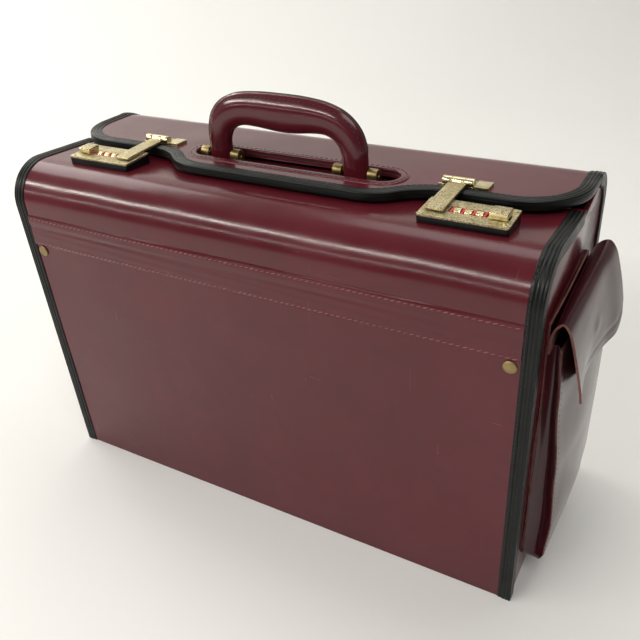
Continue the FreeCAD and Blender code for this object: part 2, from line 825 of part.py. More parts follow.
def outside_pocket():
    mouth = size("pocket_mouth")
    skin = size("pocket_skin")
    top = size("pocket_flap_hinge_z") - 6.5
    back_start = "sizes.case_length / 2 - sizes.end_recess"
    keep(prism("pocket_back", "YZ_Plane", [outline(pocket_outline(0, top))], back_start,
               "sizes.pocket_skin"))
    gusset = outline(pocket_outline(0, mouth) + backwards(pocket_outline(skin, mouth)))
    keep(prism("pocket_gusset", "YZ_Plane", [gusset], back_start + " + sizes.pocket_skin",
               "sizes.pocket_depth - 2 * sizes.pocket_skin"))
    keep(prism("pocket_front", "YZ_Plane", [outline(pocket_outline(0, mouth))],
               back_start + " + sizes.pocket_depth - sizes.pocket_skin", "sizes.pocket_skin"))

    face = END_FACE + skin
    hinge_x = size("pocket_flap_hinge_x")
    hinge_z = size("pocket_flap_hinge_z")
    bend_centre = (face + 10.0, hinge_z - 8.6)
    strip = outline([
        (face, hinge_z - 24),
        (face + 1.8, hinge_z - 24),
        (face + 1.8, bend_centre[1]),
        arc(bend_centre, 8.2, 180, 102),
        arc(bend_centre, 10.0, 102, 180),
    ])
    flap_near = size("pocket_front_y") - 3
    flap_width = size("pocket_width") + 6
    keep(prism("pocket_flap_strip", "XZ_Plane", [strip], -flap_near - flap_width, flap_width))

    outer = [(hinge_x + 0.3, hinge_z + 0.2), (245.5, 247.5), (250.5, 228.0), (253.5, 187.0)]
    inner = [(hinge_x + 0.3, hinge_z - 1.8), (243.8, 246.4), (248.5, 227.6), (251.5, 187.0)]
    flap = prism("pocket_flap", "XZ_Plane", [outline(outer + backwards(inner))],
                 -flap_near - flap_width, flap_width)
    keep(flap)

    stud_y = size("pocket_front_y") + size("pocket_width") / 2
    stud_z = 202.0
    stud_x = END_FACE + size("pocket_depth")
    keep(rod("snap_stud", (stud_x, stud_y, stud_z), (1, 0, 0), 6.0, 2.4))
    keep(rod("snap_socket", (stud_x + 3.6, stud_y, stud_z), (1, 0, 0), 7.0, 2.9))


# ---------------------------------------------------------------- build


case_walls()
case_bindings()
front_section()
handle()
lid()
screw_places = []
for lock_name in LOCKS:
    hasp(lock_name)
    screw_places += lock(lock_name)
lock_screws(screw_places)
outside_pocket()
doc.recompute()

problems = []
for item in doc.Objects:
    if "Invalid" in item.State or "Error" in item.State:
        problems.append("%s %s" % (item.Label, item.State))
for node in NODES:
    if node.Shape.isNull() or not node.Shape.isValid():
        problems.append("%s has no valid shape" % node.Label)
if problems:
    raise RuntimeError("; ".join(problems))

os.makedirs("parts", exist_ok=True)
for node in NODES:
    node.Shape.exportStep("parts/%s.step" % node.Label)
print("%d sub-parts written" % len(NODES))
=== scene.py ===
import math
import random

import bpy
import bmesh
from mathutils import Matrix, Vector


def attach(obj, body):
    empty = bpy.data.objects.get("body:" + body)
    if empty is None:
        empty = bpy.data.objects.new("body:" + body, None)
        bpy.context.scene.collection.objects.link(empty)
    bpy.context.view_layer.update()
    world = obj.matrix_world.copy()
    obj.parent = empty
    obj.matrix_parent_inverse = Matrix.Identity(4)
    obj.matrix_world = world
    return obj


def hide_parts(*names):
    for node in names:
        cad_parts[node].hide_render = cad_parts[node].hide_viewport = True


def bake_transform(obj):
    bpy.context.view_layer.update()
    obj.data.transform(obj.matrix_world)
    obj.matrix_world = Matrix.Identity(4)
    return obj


# Doctor bag. Lengths below are millimetres in the part's own frame (+X to the pocket end,
# +Y to the rear, +Z up) and become metres when a mesh is made.

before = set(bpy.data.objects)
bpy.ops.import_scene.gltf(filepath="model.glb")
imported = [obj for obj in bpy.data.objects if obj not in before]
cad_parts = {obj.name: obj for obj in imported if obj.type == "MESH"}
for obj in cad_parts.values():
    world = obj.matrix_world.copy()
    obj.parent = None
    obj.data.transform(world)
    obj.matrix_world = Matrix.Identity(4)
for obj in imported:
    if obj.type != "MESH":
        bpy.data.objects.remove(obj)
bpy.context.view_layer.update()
random.seed(11)
MM = 0.001

HALF_X = 225.0  # half the case's width, over the bindings
LEATHER_X = 224.0  # half the width of the leather between them
LEATHER_LOW = 0.4  # lower edge of the front and rear leather
FRONT_Y = -85.5
REAR_Y = 85.5
SHOULDER = (-53.5, 265.5)  # (y, z) centre of the round shoulder above the front
SHOULDER_R = 32.0
SLOPE = math.radians(5.2)  # fall of the front section towards the rear
HINGE = (56.5, 301.0)  # (y, z) of the lid's hinge line
TILT = math.radians(2.3)  # rise of the closed lid towards the front
REAR_C = (56.5, 271.0)  # (y, z) centre of the rear shoulder
REAR_R = 29.0
END_X = 223.6  # outer face of the end panel


# ---------------------------------------------------------------- materials


def node(tree, kind, **sockets):
    n = tree.nodes.new(kind)
    for key, value in sockets.items():
        n.inputs[key.replace("_", " ")].default_value = value
    return n


def material(name):
    m = bpy.data.materials.new(name)
    m.use_nodes = True
    t = m.node_tree
    t.nodes.clear()
    out = t.nodes.new("ShaderNodeOutputMaterial")
    bsdf = t.nodes.new("ShaderNodeBsdfPrincipled")
    t.links.new(bsdf.outputs[0], out.inputs[0])
    coord = t.nodes.new("ShaderNodeTexCoord")
    return m, t, bsdf, coord.outputs["Object"]


def noise(t, vector, scale, detail, rough=0.5, stretch=None, turn=None):
    if stretch or turn:
        mapping = t.nodes.new("ShaderNodeMapping")
        mapping.inputs["Scale"].default_value = stretch or (1, 1, 1)
        mapping.inputs["Rotation"].default_value = turn or (0, 0, 0)
        t.links.new(vector, mapping.inputs[0])
        vector = mapping.outputs[0]
    n = node(t, "ShaderNodeTexNoise", Scale=scale, Detail=detail, Roughness=rough)
    t.links.new(vector, n.inputs["Vector"])
    return n.outputs["Fac"]


def spread(t, value, low, high, to_low, to_high):
    n = t.nodes.new("ShaderNodeMapRange")
    for key, v in (("From Min", low), ("From Max", high), ("To Min", to_low), ("To Max", to_high)):
        n.inputs[key].default_value = v
    t.links.new(value, n.inputs["Value"])
    return n.outputs[0]


def mixed(t, factor, a, b):
    n = t.nodes.new("ShaderNodeMix")
    n.data_type = "RGBA"
    t.links.new(factor, n.inputs[0])
    for socket, colour in ((n.inputs[6], a), (n.inputs[7], b)):
        if isinstance(colour, tuple):
            socket.default_value = (*colour, 1)
        else:
            t.links.new(colour, socket)
    return n.outputs[2]


def bumps(t, bsdf, layers):
    """Stack bump layers: (height output, distance in metres, strength)."""
    before = None
    for height, distance, strength in layers:
        b = node(t, "ShaderNodeBump", Distance=distance, Strength=strength)
        t.links.new(height, b.inputs["Height"])
        if before:
            t.links.new(before, b.inputs["Normal"])
        before = b.outputs[0]
    t.links.new(before, bsdf.inputs["Normal"])


def add(t, a, b, operation="ADD"):
    n = t.nodes.new("ShaderNodeMath")
    n.operation = operation
    for k, v in enumerate((a, b)):
        if isinstance(v, (int, float)):
            n.inputs[k].default_value = v
        else:
            t.links.new(v, n.inputs[k])
    return n.outputs[0]


def leather(name, dark, light, roughness, coat, wave=1.0):
    m, t, bsdf, at = material(name)
    cloud = spread(t, noise(t, at, 9, 3), 0.3, 0.7, 0, 1)
    mottle = spread(t, noise(t, at, 55, 4, 0.6), 0.35, 0.7, 0, 1)
    base = mixed(t, cloud, dark, light)
    base = mixed(t, add(t, mottle, 0.25, "MULTIPLY"), base, tuple(0.72 * c for c in dark))
    scratch = spread(t, noise(t, at, 26, 2, 0.6, (0.35, 0.35, 9), (0.5, 0.9, 0.3)), 0.66, 0.72, 0, 1)
    scratch_b = spread(t, noise(t, at, 34, 2, 0.6, (8, 0.3, 0.4), (0.3, -0.5, 0.8)), 0.67, 0.72, 0, 1)
    marks = add(t, scratch, scratch_b, "MAXIMUM")
    base = mixed(t, add(t, marks, 0.05, "MULTIPLY"), base, tuple(1.9 * c for c in light))
    t.links.new(base, bsdf.inputs["Base Color"])
    rough = spread(t, noise(t, at, 30, 4, 0.6), 0.3, 0.75, roughness - 0.04, roughness + 0.07)
    rough = add(t, rough, add(t, marks, 0.05, "MULTIPLY"))
    t.links.new(rough, bsdf.inputs["Roughness"])
    bsdf.inputs["Coat Weight"].default_value = coat
    bsdf.inputs["Coat Roughness"].default_value = 0.10
    bsdf.inputs["Specular IOR Level"].default_value = 0.43
    grain = node(t, "ShaderNodeTexVoronoi", Scale=900.0)
    t.links.new(at, grain.inputs["Vector"])
    bumps(t, bsdf, [
        (noise(t, at, 14, 1), 0.0022 * wave, 0.55),
        (noise(t, at, 95, 2), 0.00012, 0.6),
        (grain.outputs["Distance"], 0.00005, 0.35),
        (marks, 0.00002, 0.5),
    ])
    return m


def rubber(name):
    m, t, bsdf, at = material(name)
    worn = spread(t, noise(t, at, 40, 4, 0.6), 0.35, 0.7, 0, 1)
    t.links.new(mixed(t, worn, (0.0016, 0.0024, 0.0021), (0.0045, 0.0064, 0.0055)), bsdf.inputs["Base Color"])
    t.links.new(spread(t, noise(t, at, 120, 3), 0.3, 0.7, 0.28, 0.44), bsdf.inputs["Roughness"])
    bsdf.inputs["Specular IOR Level"].default_value = 0.27
    bumps(t, bsdf, [(noise(t, at, 900, 2), 0.00005, 0.5), (noise(t, at, 60, 2), 0.0003, 0.3)])
    return m


def brass(name, hammered):
    m, t, bsdf, at = material(name)
    tarnish = spread(t, noise(t, at, 160, 4, 0.65), 0.35, 0.7, 0, 1)
    bright, dull = ((0.74, 0.65, 0.40), (0.48, 0.40, 0.215)) if hammered else ((0.86, 0.75, 0.46), (0.66, 0.56, 0.32))
    polished = mixed(t, tarnish, bright, dull)
    bsdf.inputs["Metallic"].default_value = 1.0
    low = 0.30 if hammered else 0.14
    t.links.new(spread(t, noise(t, at, 300, 3), 0.3, 0.7, low, low + 0.14), bsdf.inputs["Roughness"])
    if hammered:
        cells = node(t, "ShaderNodeTexVoronoi", Scale=1150.0)
        t.links.new(at, cells.inputs["Vector"])
        pits = spread(t, noise(t, at, 900, 2, 0.6), 0.47, 0.62, 0, 1)
        t.links.new(mixed(t, add(t, pits, 0.75, "MULTIPLY"), polished, (0.13, 0.10, 0.045)), bsdf.inputs["Base Color"])
        bumps(t, bsdf, [(cells.outputs["Distance"], 0.00035, 0.9), (pits, 0.00012, 0.7)])
    else:
        t.links.new(polished, bsdf.inputs["Base Color"])
        bumps(t, bsdf, [(noise(t, at, 500, 2), 0.00004, 0.4)])
    return m


def plain(name, dark, light, low, high, grain=700, depth=0.00005, metallic=0.0, specular=0.5):
    m, t, bsdf, at = material(name)
    patch = spread(t, noise(t, at, 90, 4, 0.6), 0.3, 0.7, 0, 1)
    t.links.new(mixed(t, patch, dark, light), bsdf.inputs["Base Color"])
    bsdf.inputs["Metallic"].default_value = metallic
    bsdf.inputs["Specular IOR Level"].default_value = specular
    t.links.new(spread(t, noise(t, at, 220, 3), 0.3, 0.7, low, high), bsdf.inputs["Roughness"])
    bumps(t, bsdf, [(noise(t, at, grain, 2), depth, 0.5)])
    return m


def woven(name):
    m, t, bsdf, at = material(name)
    waves = []
    for direction in ("X", "Y", "Z"):
        w = node(t, "ShaderNodeTexWave", Scale=420.0)
        w.bands_direction = direction
        t.links.new(at, w.inputs["Vector"])
        waves.append(w.outputs["Fac"])
    weave = add(t, add(t, waves[0], waves[1], "MAXIMUM"), waves[2], "MULTIPLY")
    t.links.new(mixed(t, weave, (0.035, 0.028, 0.028), (0.085, 0.070, 0.070)), bsdf.inputs["Base Color"])
    t.links.new(spread(t, noise(t, at, 80, 3), 0.3, 0.7, 0.7, 0.9), bsdf.inputs["Roughness"])
    bumps(t, bsdf, [(weave, 0.0002, 0.6)])
    return m


LEATHER = leather("burgundy_leather", (0.082, 0.0072, 0.0130), (0.108, 0.0105, 0.0180), 0.19, 0.05)
SOFT = leather("pocket_leather", (0.036, 0.0045, 0.0074), (0.056, 0.0068, 0.0110), 0.18, 0.06, 1.6)
GRIP = leather("handle_leather", (0.074, 0.0062, 0.0110), (0.104, 0.0100, 0.0165), 0.17, 0.10, 0.5)
RAW = plain("raw_leather_edge", (0.10, 0.030, 0.026), (0.22, 0.085, 0.070), 0.6, 0.85, 1600, 0.0004)
DARK_EDGE = plain("dark_leather_edge", (0.014, 0.006, 0.006), (0.048, 0.018, 0.017), 0.5, 0.7, 1600, 0.0003)
BINDING = rubber("ribbed_binding")
BRASS = brass("polished_brass", False)
HAMMERED = brass("hammered_brass", True)
PLASTIC = plain("black_plastic", (0.0025, 0.0026, 0.0028), (0.006, 0.006, 0.006), 0.26, 0.40, specular=0.26)
RED = plain("red_plastic", (0.50, 0.022, 0.018), (0.62, 0.040, 0.030), 0.20, 0.32)
AGED = plain("aged_brass", (0.20, 0.145, 0.060), (0.36, 0.28, 0.135), 0.30, 0.50, 700, 0.00005, 1.0)
STEEL = plain("steel", (0.42, 0.42, 0.42), (0.58, 0.58, 0.57), 0.25, 0.4, 900, 0.00005, 1.0)
THREAD = plain("burgundy_thread", (0.17, 0.026, 0.036), (0.38, 0.10, 0.115), 0.55, 0.75, 2600, 0.0002)
DARK_THREAD = plain("dark_thread", (0.012, 0.008, 0.009), (0.040, 0.020, 0.022), 0.5, 0.7, 2600, 0.0002)
LINING = woven("woven_lining")


# ---------------------------------------------------------------- mesh helpers


def piece(name, verts, faces, mats, face_mats=None, sharp=38):
    """Mesh object from points in millimetres, smooth but for edges over the sharp angle in degrees."""
    mesh = bpy.data.meshes.new(name)
    mesh.from_pydata([(x * MM, y * MM, z * MM) for x, y, z in verts], [], faces)
    for m in mats:
        mesh.materials.append(m)
    if face_mats:
        mesh.polygons.foreach_set("material_index", face_mats)
    bm = bmesh.new()
    bm.from_mesh(mesh)
    bmesh.ops.remove_doubles(bm, verts=bm.verts, dist=1e-7)
    bmesh.ops.recalc_face_normals(bm, faces=bm.faces)
    bm.to_mesh(mesh)
    bm.free()
    mesh.polygons.foreach_set("use_smooth", [True] * len(mesh.polygons))
    mesh.set_sharp_from_angle(angle=math.radians(sharp))
    obj = bpy.data.objects.new(name, mesh)
    bpy.context.scene.collection.objects.link(obj)
    return obj


def place(obj, body, slot, *nodes):
    """A piece that moves with one body and stands for the given CAD nodes."""
    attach(obj, body)
    if nodes:
        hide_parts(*nodes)
    return obj


def bent(obj, a, b, start, end, slot, *nodes):
    """A piece baked in place that stands for the given CAD nodes; a, b, start and end are not used."""
    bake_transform(obj)
    if nodes:
        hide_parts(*nodes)
    return obj


def loft(name, rings, mats, closed_path=False, face_mat=None, sharp=38):
    """Skin over a row of closed rings, each a list of points of one length."""
    count = len(rings[0])
    verts = [p for ring in rings for p in ring]
    faces, marks = [], []
    along = len(rings) if closed_path else len(rings) - 1
    for i in range(along):
        for j in range(count):
            a, b = i * count, ((i + 1) % len(rings)) * count
            k = (j + 1) % count
            faces.append((a + j, a + k, b + k, b + j))
            marks.append(face_mat(i, j) if face_mat else 0)
    if not closed_path:
        faces.append(tuple(range(count))[::-1])
        faces.append(tuple((len(rings) - 1) * count + j for j in range(count)))
        marks += [len(mats) - 1 if face_mat else 0] * 2
    return piece(name, verts, faces, mats, marks, sharp)


def slab(name, outer, inner, mats):
    """Closed sheet between two grids of points: outer face, inner face, rim."""
    rows, cols = len(outer), len(outer[0])
    verts = [p for row in outer for p in row] + [p for row in inner for p in row]
    shift = rows * cols
    faces, marks = [], []
    for i in range(rows - 1):
        for j in range(cols - 1):
            a = i * cols + j
            faces.append((a, a + 1, a + cols + 1, a + cols))
            marks.append(0)
            faces.append((shift + a, shift + a + cols, shift + a + cols + 1, shift + a + 1))
            marks.append(1)
    rim = [(0, j) for j in range(cols)] + [(i, cols - 1) for i in range(1, rows)]
    rim += [(rows - 1, j) for j in range(cols - 2, -1, -1)] + [(i, 0) for i in range(rows - 2, 0, -1)]
    for k, (i, j) in enumerate(rim):
        m, n = rim[(k + 1) % len(rim)]
        a, b = i * cols + j, m * cols + n
        faces.append((a, shift + a, shift + b, b))
        marks.append(2)
    return piece(name, verts, faces, mats, marks)


def refined(cad_node, name, mat, width, body, slot, segments=2, angle=35, other=None, other_where=None, corner=0.0):
    """A CAD node's own shape with rounded edges and a finish, or two finishes.

    A corner width first rounds the upright edges at the four corners of the piece.
    """
    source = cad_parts[cad_node]
    mesh = source.data.copy()
    mesh.name = name
    mesh.materials.clear()
    mesh.materials.append(mat)
    if other:
        mesh.materials.append(other)
    bm = bmesh.new()
    bm.from_mesh(mesh)
    bm.transform(source.matrix_world)
    bmesh.ops.remove_doubles(bm, verts=bm.verts, dist=2e-6)
    flat = [e for e in bm.edges if len(e.link_faces) == 2 and e.calc_face_angle(0) < 0.012]
    bmesh.ops.dissolve_edges(bm, edges=flat, use_verts=True)
    if corner:
        far_x = max(v.co.x for v in bm.verts) - 1e-5
        near_x = min(v.co.x for v in bm.verts) + 1e-5
        upright = [e for e in bm.edges if all(v.co.x > far_x or v.co.x < near_x for v in e.verts)
                   and abs(e.verts[0].co.z - e.verts[1].co.z) > 0.9 * e.calc_length()]
        bmesh.ops.bevel(bm, geom=upright, offset=corner * MM, offset_type="OFFSET", segments=4,
                        profile=0.5, affect="EDGES", clamp_overlap=True, harden_normals=False)
    sharp = [e for e in bm.edges if len(e.link_faces) == 2 and e.calc_face_angle(0) > math.radians(angle)]
    if width:
        bmesh.ops.bevel(bm, geom=sharp, offset=width * MM, offset_type="OFFSET", segments=segments,
                        profile=0.5, affect="EDGES", clamp_overlap=True, harden_normals=False)
    bmesh.ops.recalc_face_normals(bm, faces=bm.faces)
    for f in bm.faces:
        f.smooth = True
        f.material_index = 1 if other and other_where(f.calc_center_median() / MM, f.normal) else 0
    bm.to_mesh(mesh)
    bm.free()
    mesh.set_sharp_from_angle(angle=math.radians(40))
    obj = bpy.data.objects.new(name, mesh)
    bpy.context.scene.collection.objects.link(obj)
    return place(obj, body, slot, cad_node)


def smoothstep(a, b, x):
    t = min(1.0, max(0.0, (x - a) / (b - a)))
    return t * t * (3 - 2 * t)


def spline(points, count):
    """Catmull-Rom curve through the points, evenly spaced along its length."""
    fine = []
    last = len(points) - 1
    for k in range(last):
        p0, p1, p2, p3 = (points[min(last, max(0, k + d))] for d in (-1, 0, 1, 2))
        for s in range(16):
            t = s / 16
            fine.append(tuple(
                0.5 * (2 * b + (c - a) * t + (2 * a - 5 * b + 4 * c - d) * t * t + (3 * b - a - 3 * c + d) * t ** 3)
                for a, b, c, d in zip(p0, p1, p2, p3)))
    fine.append(tuple(points[-1]))
    lengths = [0.0]
    for p, q in zip(fine, fine[1:]):
        lengths.append(lengths[-1] + math.dist(p, q))
    out, k = [], 0
    for i in range(count):
        target = lengths[-1] * i / (count - 1)
        while k < len(fine) - 2 and lengths[k + 1] < target:
            k += 1
        f = (target - lengths[k]) / max(1e-9, lengths[k + 1] - lengths[k])
        out.append(tuple(a + (b - a) * f for a, b in zip(fine[k], fine[k + 1])))
    return out


def stitches(name, path, normals, mats, pitch, length, width, height, lean):
    """A row of thread stitches lying on a path, each a small rounded bar."""
    verts, faces = [], []
    marks = [0.0]
    for p, q in zip(path, path[1:]):
        marks.append(marks[-1] + math.dist(p, q))

    def at(distance):
        distance = min(max(distance, 0.0), marks[-1] - 1e-6)
        k = max(i for i, m in enumerate(marks) if m <= distance)
        f = (distance - marks[k]) / max(1e-9, marks[k + 1] - marks[k])
        spot = Vector(path[k]).lerp(Vector(path[k + 1]), f)
        return spot, Vector(normals[k]).lerp(Vector(normals[k + 1]), f).normalized()

    total = int(marks[-1] / pitch)
    for number in range(total):
        middle = (number + 0.5) * marks[-1] / total
        a, b = at(middle - length / 2)[0], at(middle + length / 2)[0]
        centre, up = at(middle)
        along = (b - a).normalized()
        side = up.cross(along).normalized()
        tilt = lean + random.uniform(-0.05, 0.05)
        start = len(verts)
        rings = [(-1, 0.25, -0.5), (-0.78, 0.85, 0.45), (0, 1, 1), (0.78, 0.85, 0.45), (1, 0.25, -0.5)]
        for f, wide, lift in rings:
            core = centre + along * (f * length / 2) + side * (f * length / 2 * tilt)
            for k in range(6):
                angle = math.pi * k / 3
                point = core + side * (math.cos(angle) * width / 2 * wide)
                point = point + up * (height * 0.5 * lift + math.sin(angle) * height / 2 * wide)
                verts.append(tuple(point))
        for r in range(4):
            for k in range(6):
                n = (k + 1) % 6
                faces.append((start + r * 6 + k, start + r * 6 + n, start + r * 6 + 6 + n, start + r * 6 + 6 + k))
        faces.append(tuple(start + k for k in range(6))[::-1])
        faces.append(tuple(start + 24 + k for k in range(6)))
    return piece(name, verts, faces, mats, sharp=60)


def lathe(name, spots, axis, profile, mats, count=28):
    """Turned pieces: profile is (distance along the axis, radius)."""
    axis = Vector(axis).normalized()
    side = axis.orthogonal().normalized()
    other = axis.cross(side)
    verts, faces = [], []
    for spot in spots:
        start = len(verts)
        for d, r in profile:
            for k in range(count):
                a = 2 * math.pi * k / count
                p = Vector(spot) + axis * d + side * (r * math.cos(a)) + other * (r * math.sin(a))
                verts.append(tuple(p))
        for i in range(len(profile) - 1):
            for k in range(count):
                n = (k + 1) % count
                faces.append((start + i * count + k, start + i * count + n,
                              start + (i + 1) * count + n, start + (i + 1) * count + k))
        faces.append(tuple(start + k for k in range(count))[::-1])
        faces.append(tuple(start + (len(profile) - 1) * count + k for k in range(count)))
    return piece(name, verts, faces, mats)


# ---------------------------------------------------------------- case lines


def flap_point(along, offset):
    """(y, z) on the sloping top of the front section, measured from the shoulder's end."""
    a = math.pi / 2 - SLOPE
    y = SHOULDER[0] + (SHOULDER_R + offset) * math.cos(a) + along * math.cos(SLOPE)
    z = SHOULDER[1] + (SHOULDER_R + offset) * math.sin(a) - along * math.sin(SLOPE)
    return (y, z)


def front_line(bottom, reach, arc_steps=22):
    """Front face and shoulder line: ((y, z), outward normal) pairs from the bottom up."""
    line = [((FRONT_Y, z), (-1.0, 0.0)) for z in bottom]
    last = 180 - (90 - math.degrees(SLOPE))
    for k in range(arc_steps + 1):
        a = math.radians(180 - last * k / arc_steps)
        n = (math.cos(a), math.sin(a))
        line.append(((SHOULDER[0] + SHOULDER_R * n[0], SHOULDER[1] + SHOULDER_R * n[1]), n))
    n = (math.sin(SLOPE), math.cos(SLOPE))
    for along in reach:
        line.append((flap_point(along, 0), n))
    return line


def rear_line(bottom, arc_steps=20):
    """Rear face and rear shoulder line, given as front_line gives its own."""
    line = [((REAR_Y, z), (1.0, 0.0)) for z in bottom]
    for k in range(1, arc_steps + 1):
        a = math.radians(90 * k / arc_steps)
        n = (math.cos(a), math.sin(a))
        line.append(((REAR_C[0] + REAR_R * n[0], REAR_C[1] + REAR_R * n[1]), n))
    return line


def lid_point(x, reach, height):
    """Point of the closed lid: reach forward of the hinge line, height above the lid's plane."""
    return (x, HINGE[0] - reach * math.cos(TILT) + height * math.sin(TILT),
            HINGE[1] + reach * math.sin(TILT) + height * math.cos(TILT))


def spaced(a, b, count):
    return [a + (b - a) * k / (count - 1) for k in range(count)]


def wobble(x, s, amount):
    """Slow unevenness of a leather face, never outwards of the nominal face."""
    w = math.sin(x * 0.021 + 0.7 * math.sin(s * 0.03)) + 0.6 * math.sin(x * 0.047 + s * 0.05 + 1.3)
    w += 0.7 * math.sin(s * 0.043 + x * 0.009 + 0.4)
    return -amount * (0.5 + 0.22 * w)


# ---------------------------------------------------------------- case leather


def front_leather():
    xs = spaced(-LEATHER_X, LEATHER_X, 65)
    zs = spaced(LEATHER_LOW, 242.9, 33)

    def edge(x, z):
        return min(smoothstep(LEATHER_X, 205, abs(x)), smoothstep(0, 10, z))

    outer = [[(x, FRONT_Y - wobble(x, z, 0.5) * edge(x, z), z) for x in xs] for z in zs]
    inner = [[(x, FRONT_Y + 4, z) for x in xs] for z in zs]
    place(slab("front_leather", outer, inner, [LEATHER, LINING, DARK_EDGE]), "case", "leather", "front_wall")


def flap_leather():
    xs = spaced(-LEATHER_X, LEATHER_X, 65)
    line = front_line(spaced(243.2, 262, 5), spaced(3, 68, 14))
    outer, inner = [], []
    for k, ((y, z), n) in enumerate(line):
        run = 3.0 * k
        outer.append([])
        for x in xs:
            d = wobble(x, run, 0.35) * smoothstep(LEATHER_X, 205, abs(x))
            outer[-1].append((x, y + n[0] * d, z + n[1] * d))
        inner.append([(x, y - n[0] * 4.5, z - n[1] * 4.5) for x in xs])
    shell = slab("front_section_leather", outer, inner, [LEATHER, LINING, DARK_EDGE])
    place(shell, "front_section", "leather", "flap_panel")


def hinge_band():
    xs = spaced(-214.6, 214.6, 65)
    profile = [(229.8, 0.03), (230.4, 0.48), (231.6, 0.78), (235, 0.92), (240, 0.88), (244.5, 0.70), (246.8, 0.34),
               (247.8, 0.40), (250, 0.84), (253, 0.90), (256.2, 0.72), (257.4, 0.40), (258.2, 0.03)]
    rows = spline(profile, 34)
    outer = [[(x, FRONT_Y - h - 0.10 * math.sin(x * 0.03 + z), z) for x in xs] for z, h in rows]
    inner = [[(x, FRONT_Y + 0.3, z) for x in xs] for z, h in rows]
    band = slab("hinge_band_leather", outer, inner, [LEATHER, LINING, LEATHER])
    ends = ((0, -86.5, 239), (0, -86.5, 250))
    bent(band, "case", "front_section", *ends, "leather", "front_hinge_band")
    for name, z, body in (("lower_band_stitches", 232.0, "case"), ("upper_band_stitches", 255.2, "front_section")):
        path = [(x, FRONT_Y - 0.78, z) for x in spaced(-213, 213, 80)]
        row = stitches(name, path, [(0, -1, 0)] * 80, [THREAD], 4.6, 3.5, 0.95, 0.50, 0.30)
        place(row, body, "leather")


def rear_leather():
    xs = spaced(-LEATHER_X, LEATHER_X, 57)
    outer, inner = [], []
    for k, ((y, z), n) in enumerate(rear_line(spaced(LEATHER_LOW, 271, 30))):
        thick = 4.0 if z < 290 else 4.0 - 2.6 * smoothstep(75, 58, y)
        outer.append([])
        for x in xs:
            d = wobble(x, 9.0 * k, 0.5) * smoothstep(LEATHER_X, 205, abs(x))
            d *= smoothstep(0, 10, z) * smoothstep(300, 285, z)
            outer[-1].append((x, y + n[0] * d, z + n[1] * d))
        inner.append([(x, y - n[0] * thick, z - n[1] * thick) for x in xs])
    for reach in spaced(1.0, 14.0, 14):
        thick = 1.4 + 4.1 * smoothstep(1, 12, reach)
        outer.append([lid_point(x, reach, -1.0) for x in xs])
        inner.append([lid_point(x, reach, -1.0 - thick) for x in xs])
    skin = slab("rear_and_hinge_leather", outer, inner, [LEATHER, LINING, DARK_EDGE])
    bent(skin, "case", "lid", (0, 65.0, 300.0), (0, 48.0, 300.0), "leather", "rear_wall")


# ---------------------------------------------------------------- ribbed binding

BINDING_WIDTH = 10.5

# Binding section from its inner edge on the face, over the corner, and down the side:
# (distance across the face, height above the leather).
FACE_RIBS = [(0.0, 0.02), (0.15, 0.45), (0.5, 0.62), (2.2, 0.66), (2.9, 0.60), (3.15, 0.34), (3.4, 0.66),
             (4.0, 1.05), (4.7, 1.14), (5.4, 1.05), (5.85, 0.62), (6.2, 0.62), (6.6, 1.05), (7.3, 1.16),
             (8.0, 1.05), (8.4, 0.66), (8.75, 0.70), (9.1, 0.96), (9.6, 1.02)]
SIDE_RIBS = [(10.15, 0.92), (10.42, 0.60), (10.50, 0.10), (10.50, -1.2), (10.32, -1.7), (10.34, -2.0),
             (10.62, -2.5), (10.66, -3.3), (10.62, -4.1), (10.34, -4.6), (10.34, -4.9), (10.58, -5.4),
             (10.60, -7.6), (10.40, -8.6), (9.9, -9.0), (9.0, -9.0)]


def end_binding(name, line, side):
    rings = []
    for (y, z), n in line:
        ring = []
        for across, height in FACE_RIBS + SIDE_RIBS:
            x = side * (HALF_X - BINDING_WIDTH + min(across, BINDING_WIDTH + 0.05))
            ring.append((x, y + n[0] * height, z + n[1] * height))
        ring.append((side * (HALF_X - 2.0), y - n[0] * 2.0, z - n[1] * 2.0))
        ring.append((side * (HALF_X - 10.2), y - n[0] * 0.3, z - n[1] * 0.3))
        rings.append(ring)
    return loft(name, rings, [BINDING], sharp=50)


def binding_stitches(name, line, side):
    across = 1.6
    path = [(side * (HALF_X - BINDING_WIDTH + across), y + n[0] * 0.60, z + n[1] * 0.60) for (y, z), n in line]
    up = [(0, *n) for spot, n in line]
    return stitches(name, path, up, [DARK_THREAD], 4.2, 3.0, 0.6, 0.3, 0.0)


def case_bindings():
    front = front_line(spaced(0.3, 262, 30), spaced(3, 61, 10), 26)
    rear = rear_line(spaced(0.3, 270, 12), 24)
    band = ((0, -86.5, 238), (0, -86.5, 249))
    for side, word in ((-1, "left"), (1, "right")):
        strip = end_binding("front_binding_" + word, front, side)
        bent(strip, "case", "front_section", *band, "binding", "binding_front_" + word, "binding_flap_" + word)
        seam = binding_stitches("front_binding_stitches_" + word, front[1:], side)
        bent(seam, "case", "front_section", *band, "binding")
        place(end_binding("rear_binding_" + word, rear, side), "case", "binding", "binding_rear_" + word)
        place(binding_stitches("rear_binding_stitches_" + word, rear[1:-1], side), "case", "binding")
    edge = []
    for x in spaced(-214.0, 214.0, 30):
        ring = []
        for along, height in [(64.2, 0.05), (64.3, 0.7), (65.2, 0.85), (65.7, 0.5), (66.2, 0.95), (67.0, 1.0),
                              (67.4, 0.55), (67.8, 0.9), (68.5, 0.85), (68.9, 0.2), (68.95, -2.5), (68.7, -5.2),
                              (67.6, -5.5), (60.3, -5.5), (60.2, -4.6), (67.8, -4.5), (67.9, -0.1)]:
            ring.append((x, *flap_point(along, height)))
        edge.append(ring)
    rear_edge = loft("front_section_rear_binding", edge, [LEATHER], sharp=50)
    place(rear_edge, "front_section", "leather", "binding_flap_rear")


# ---------------------------------------------------------------- lid


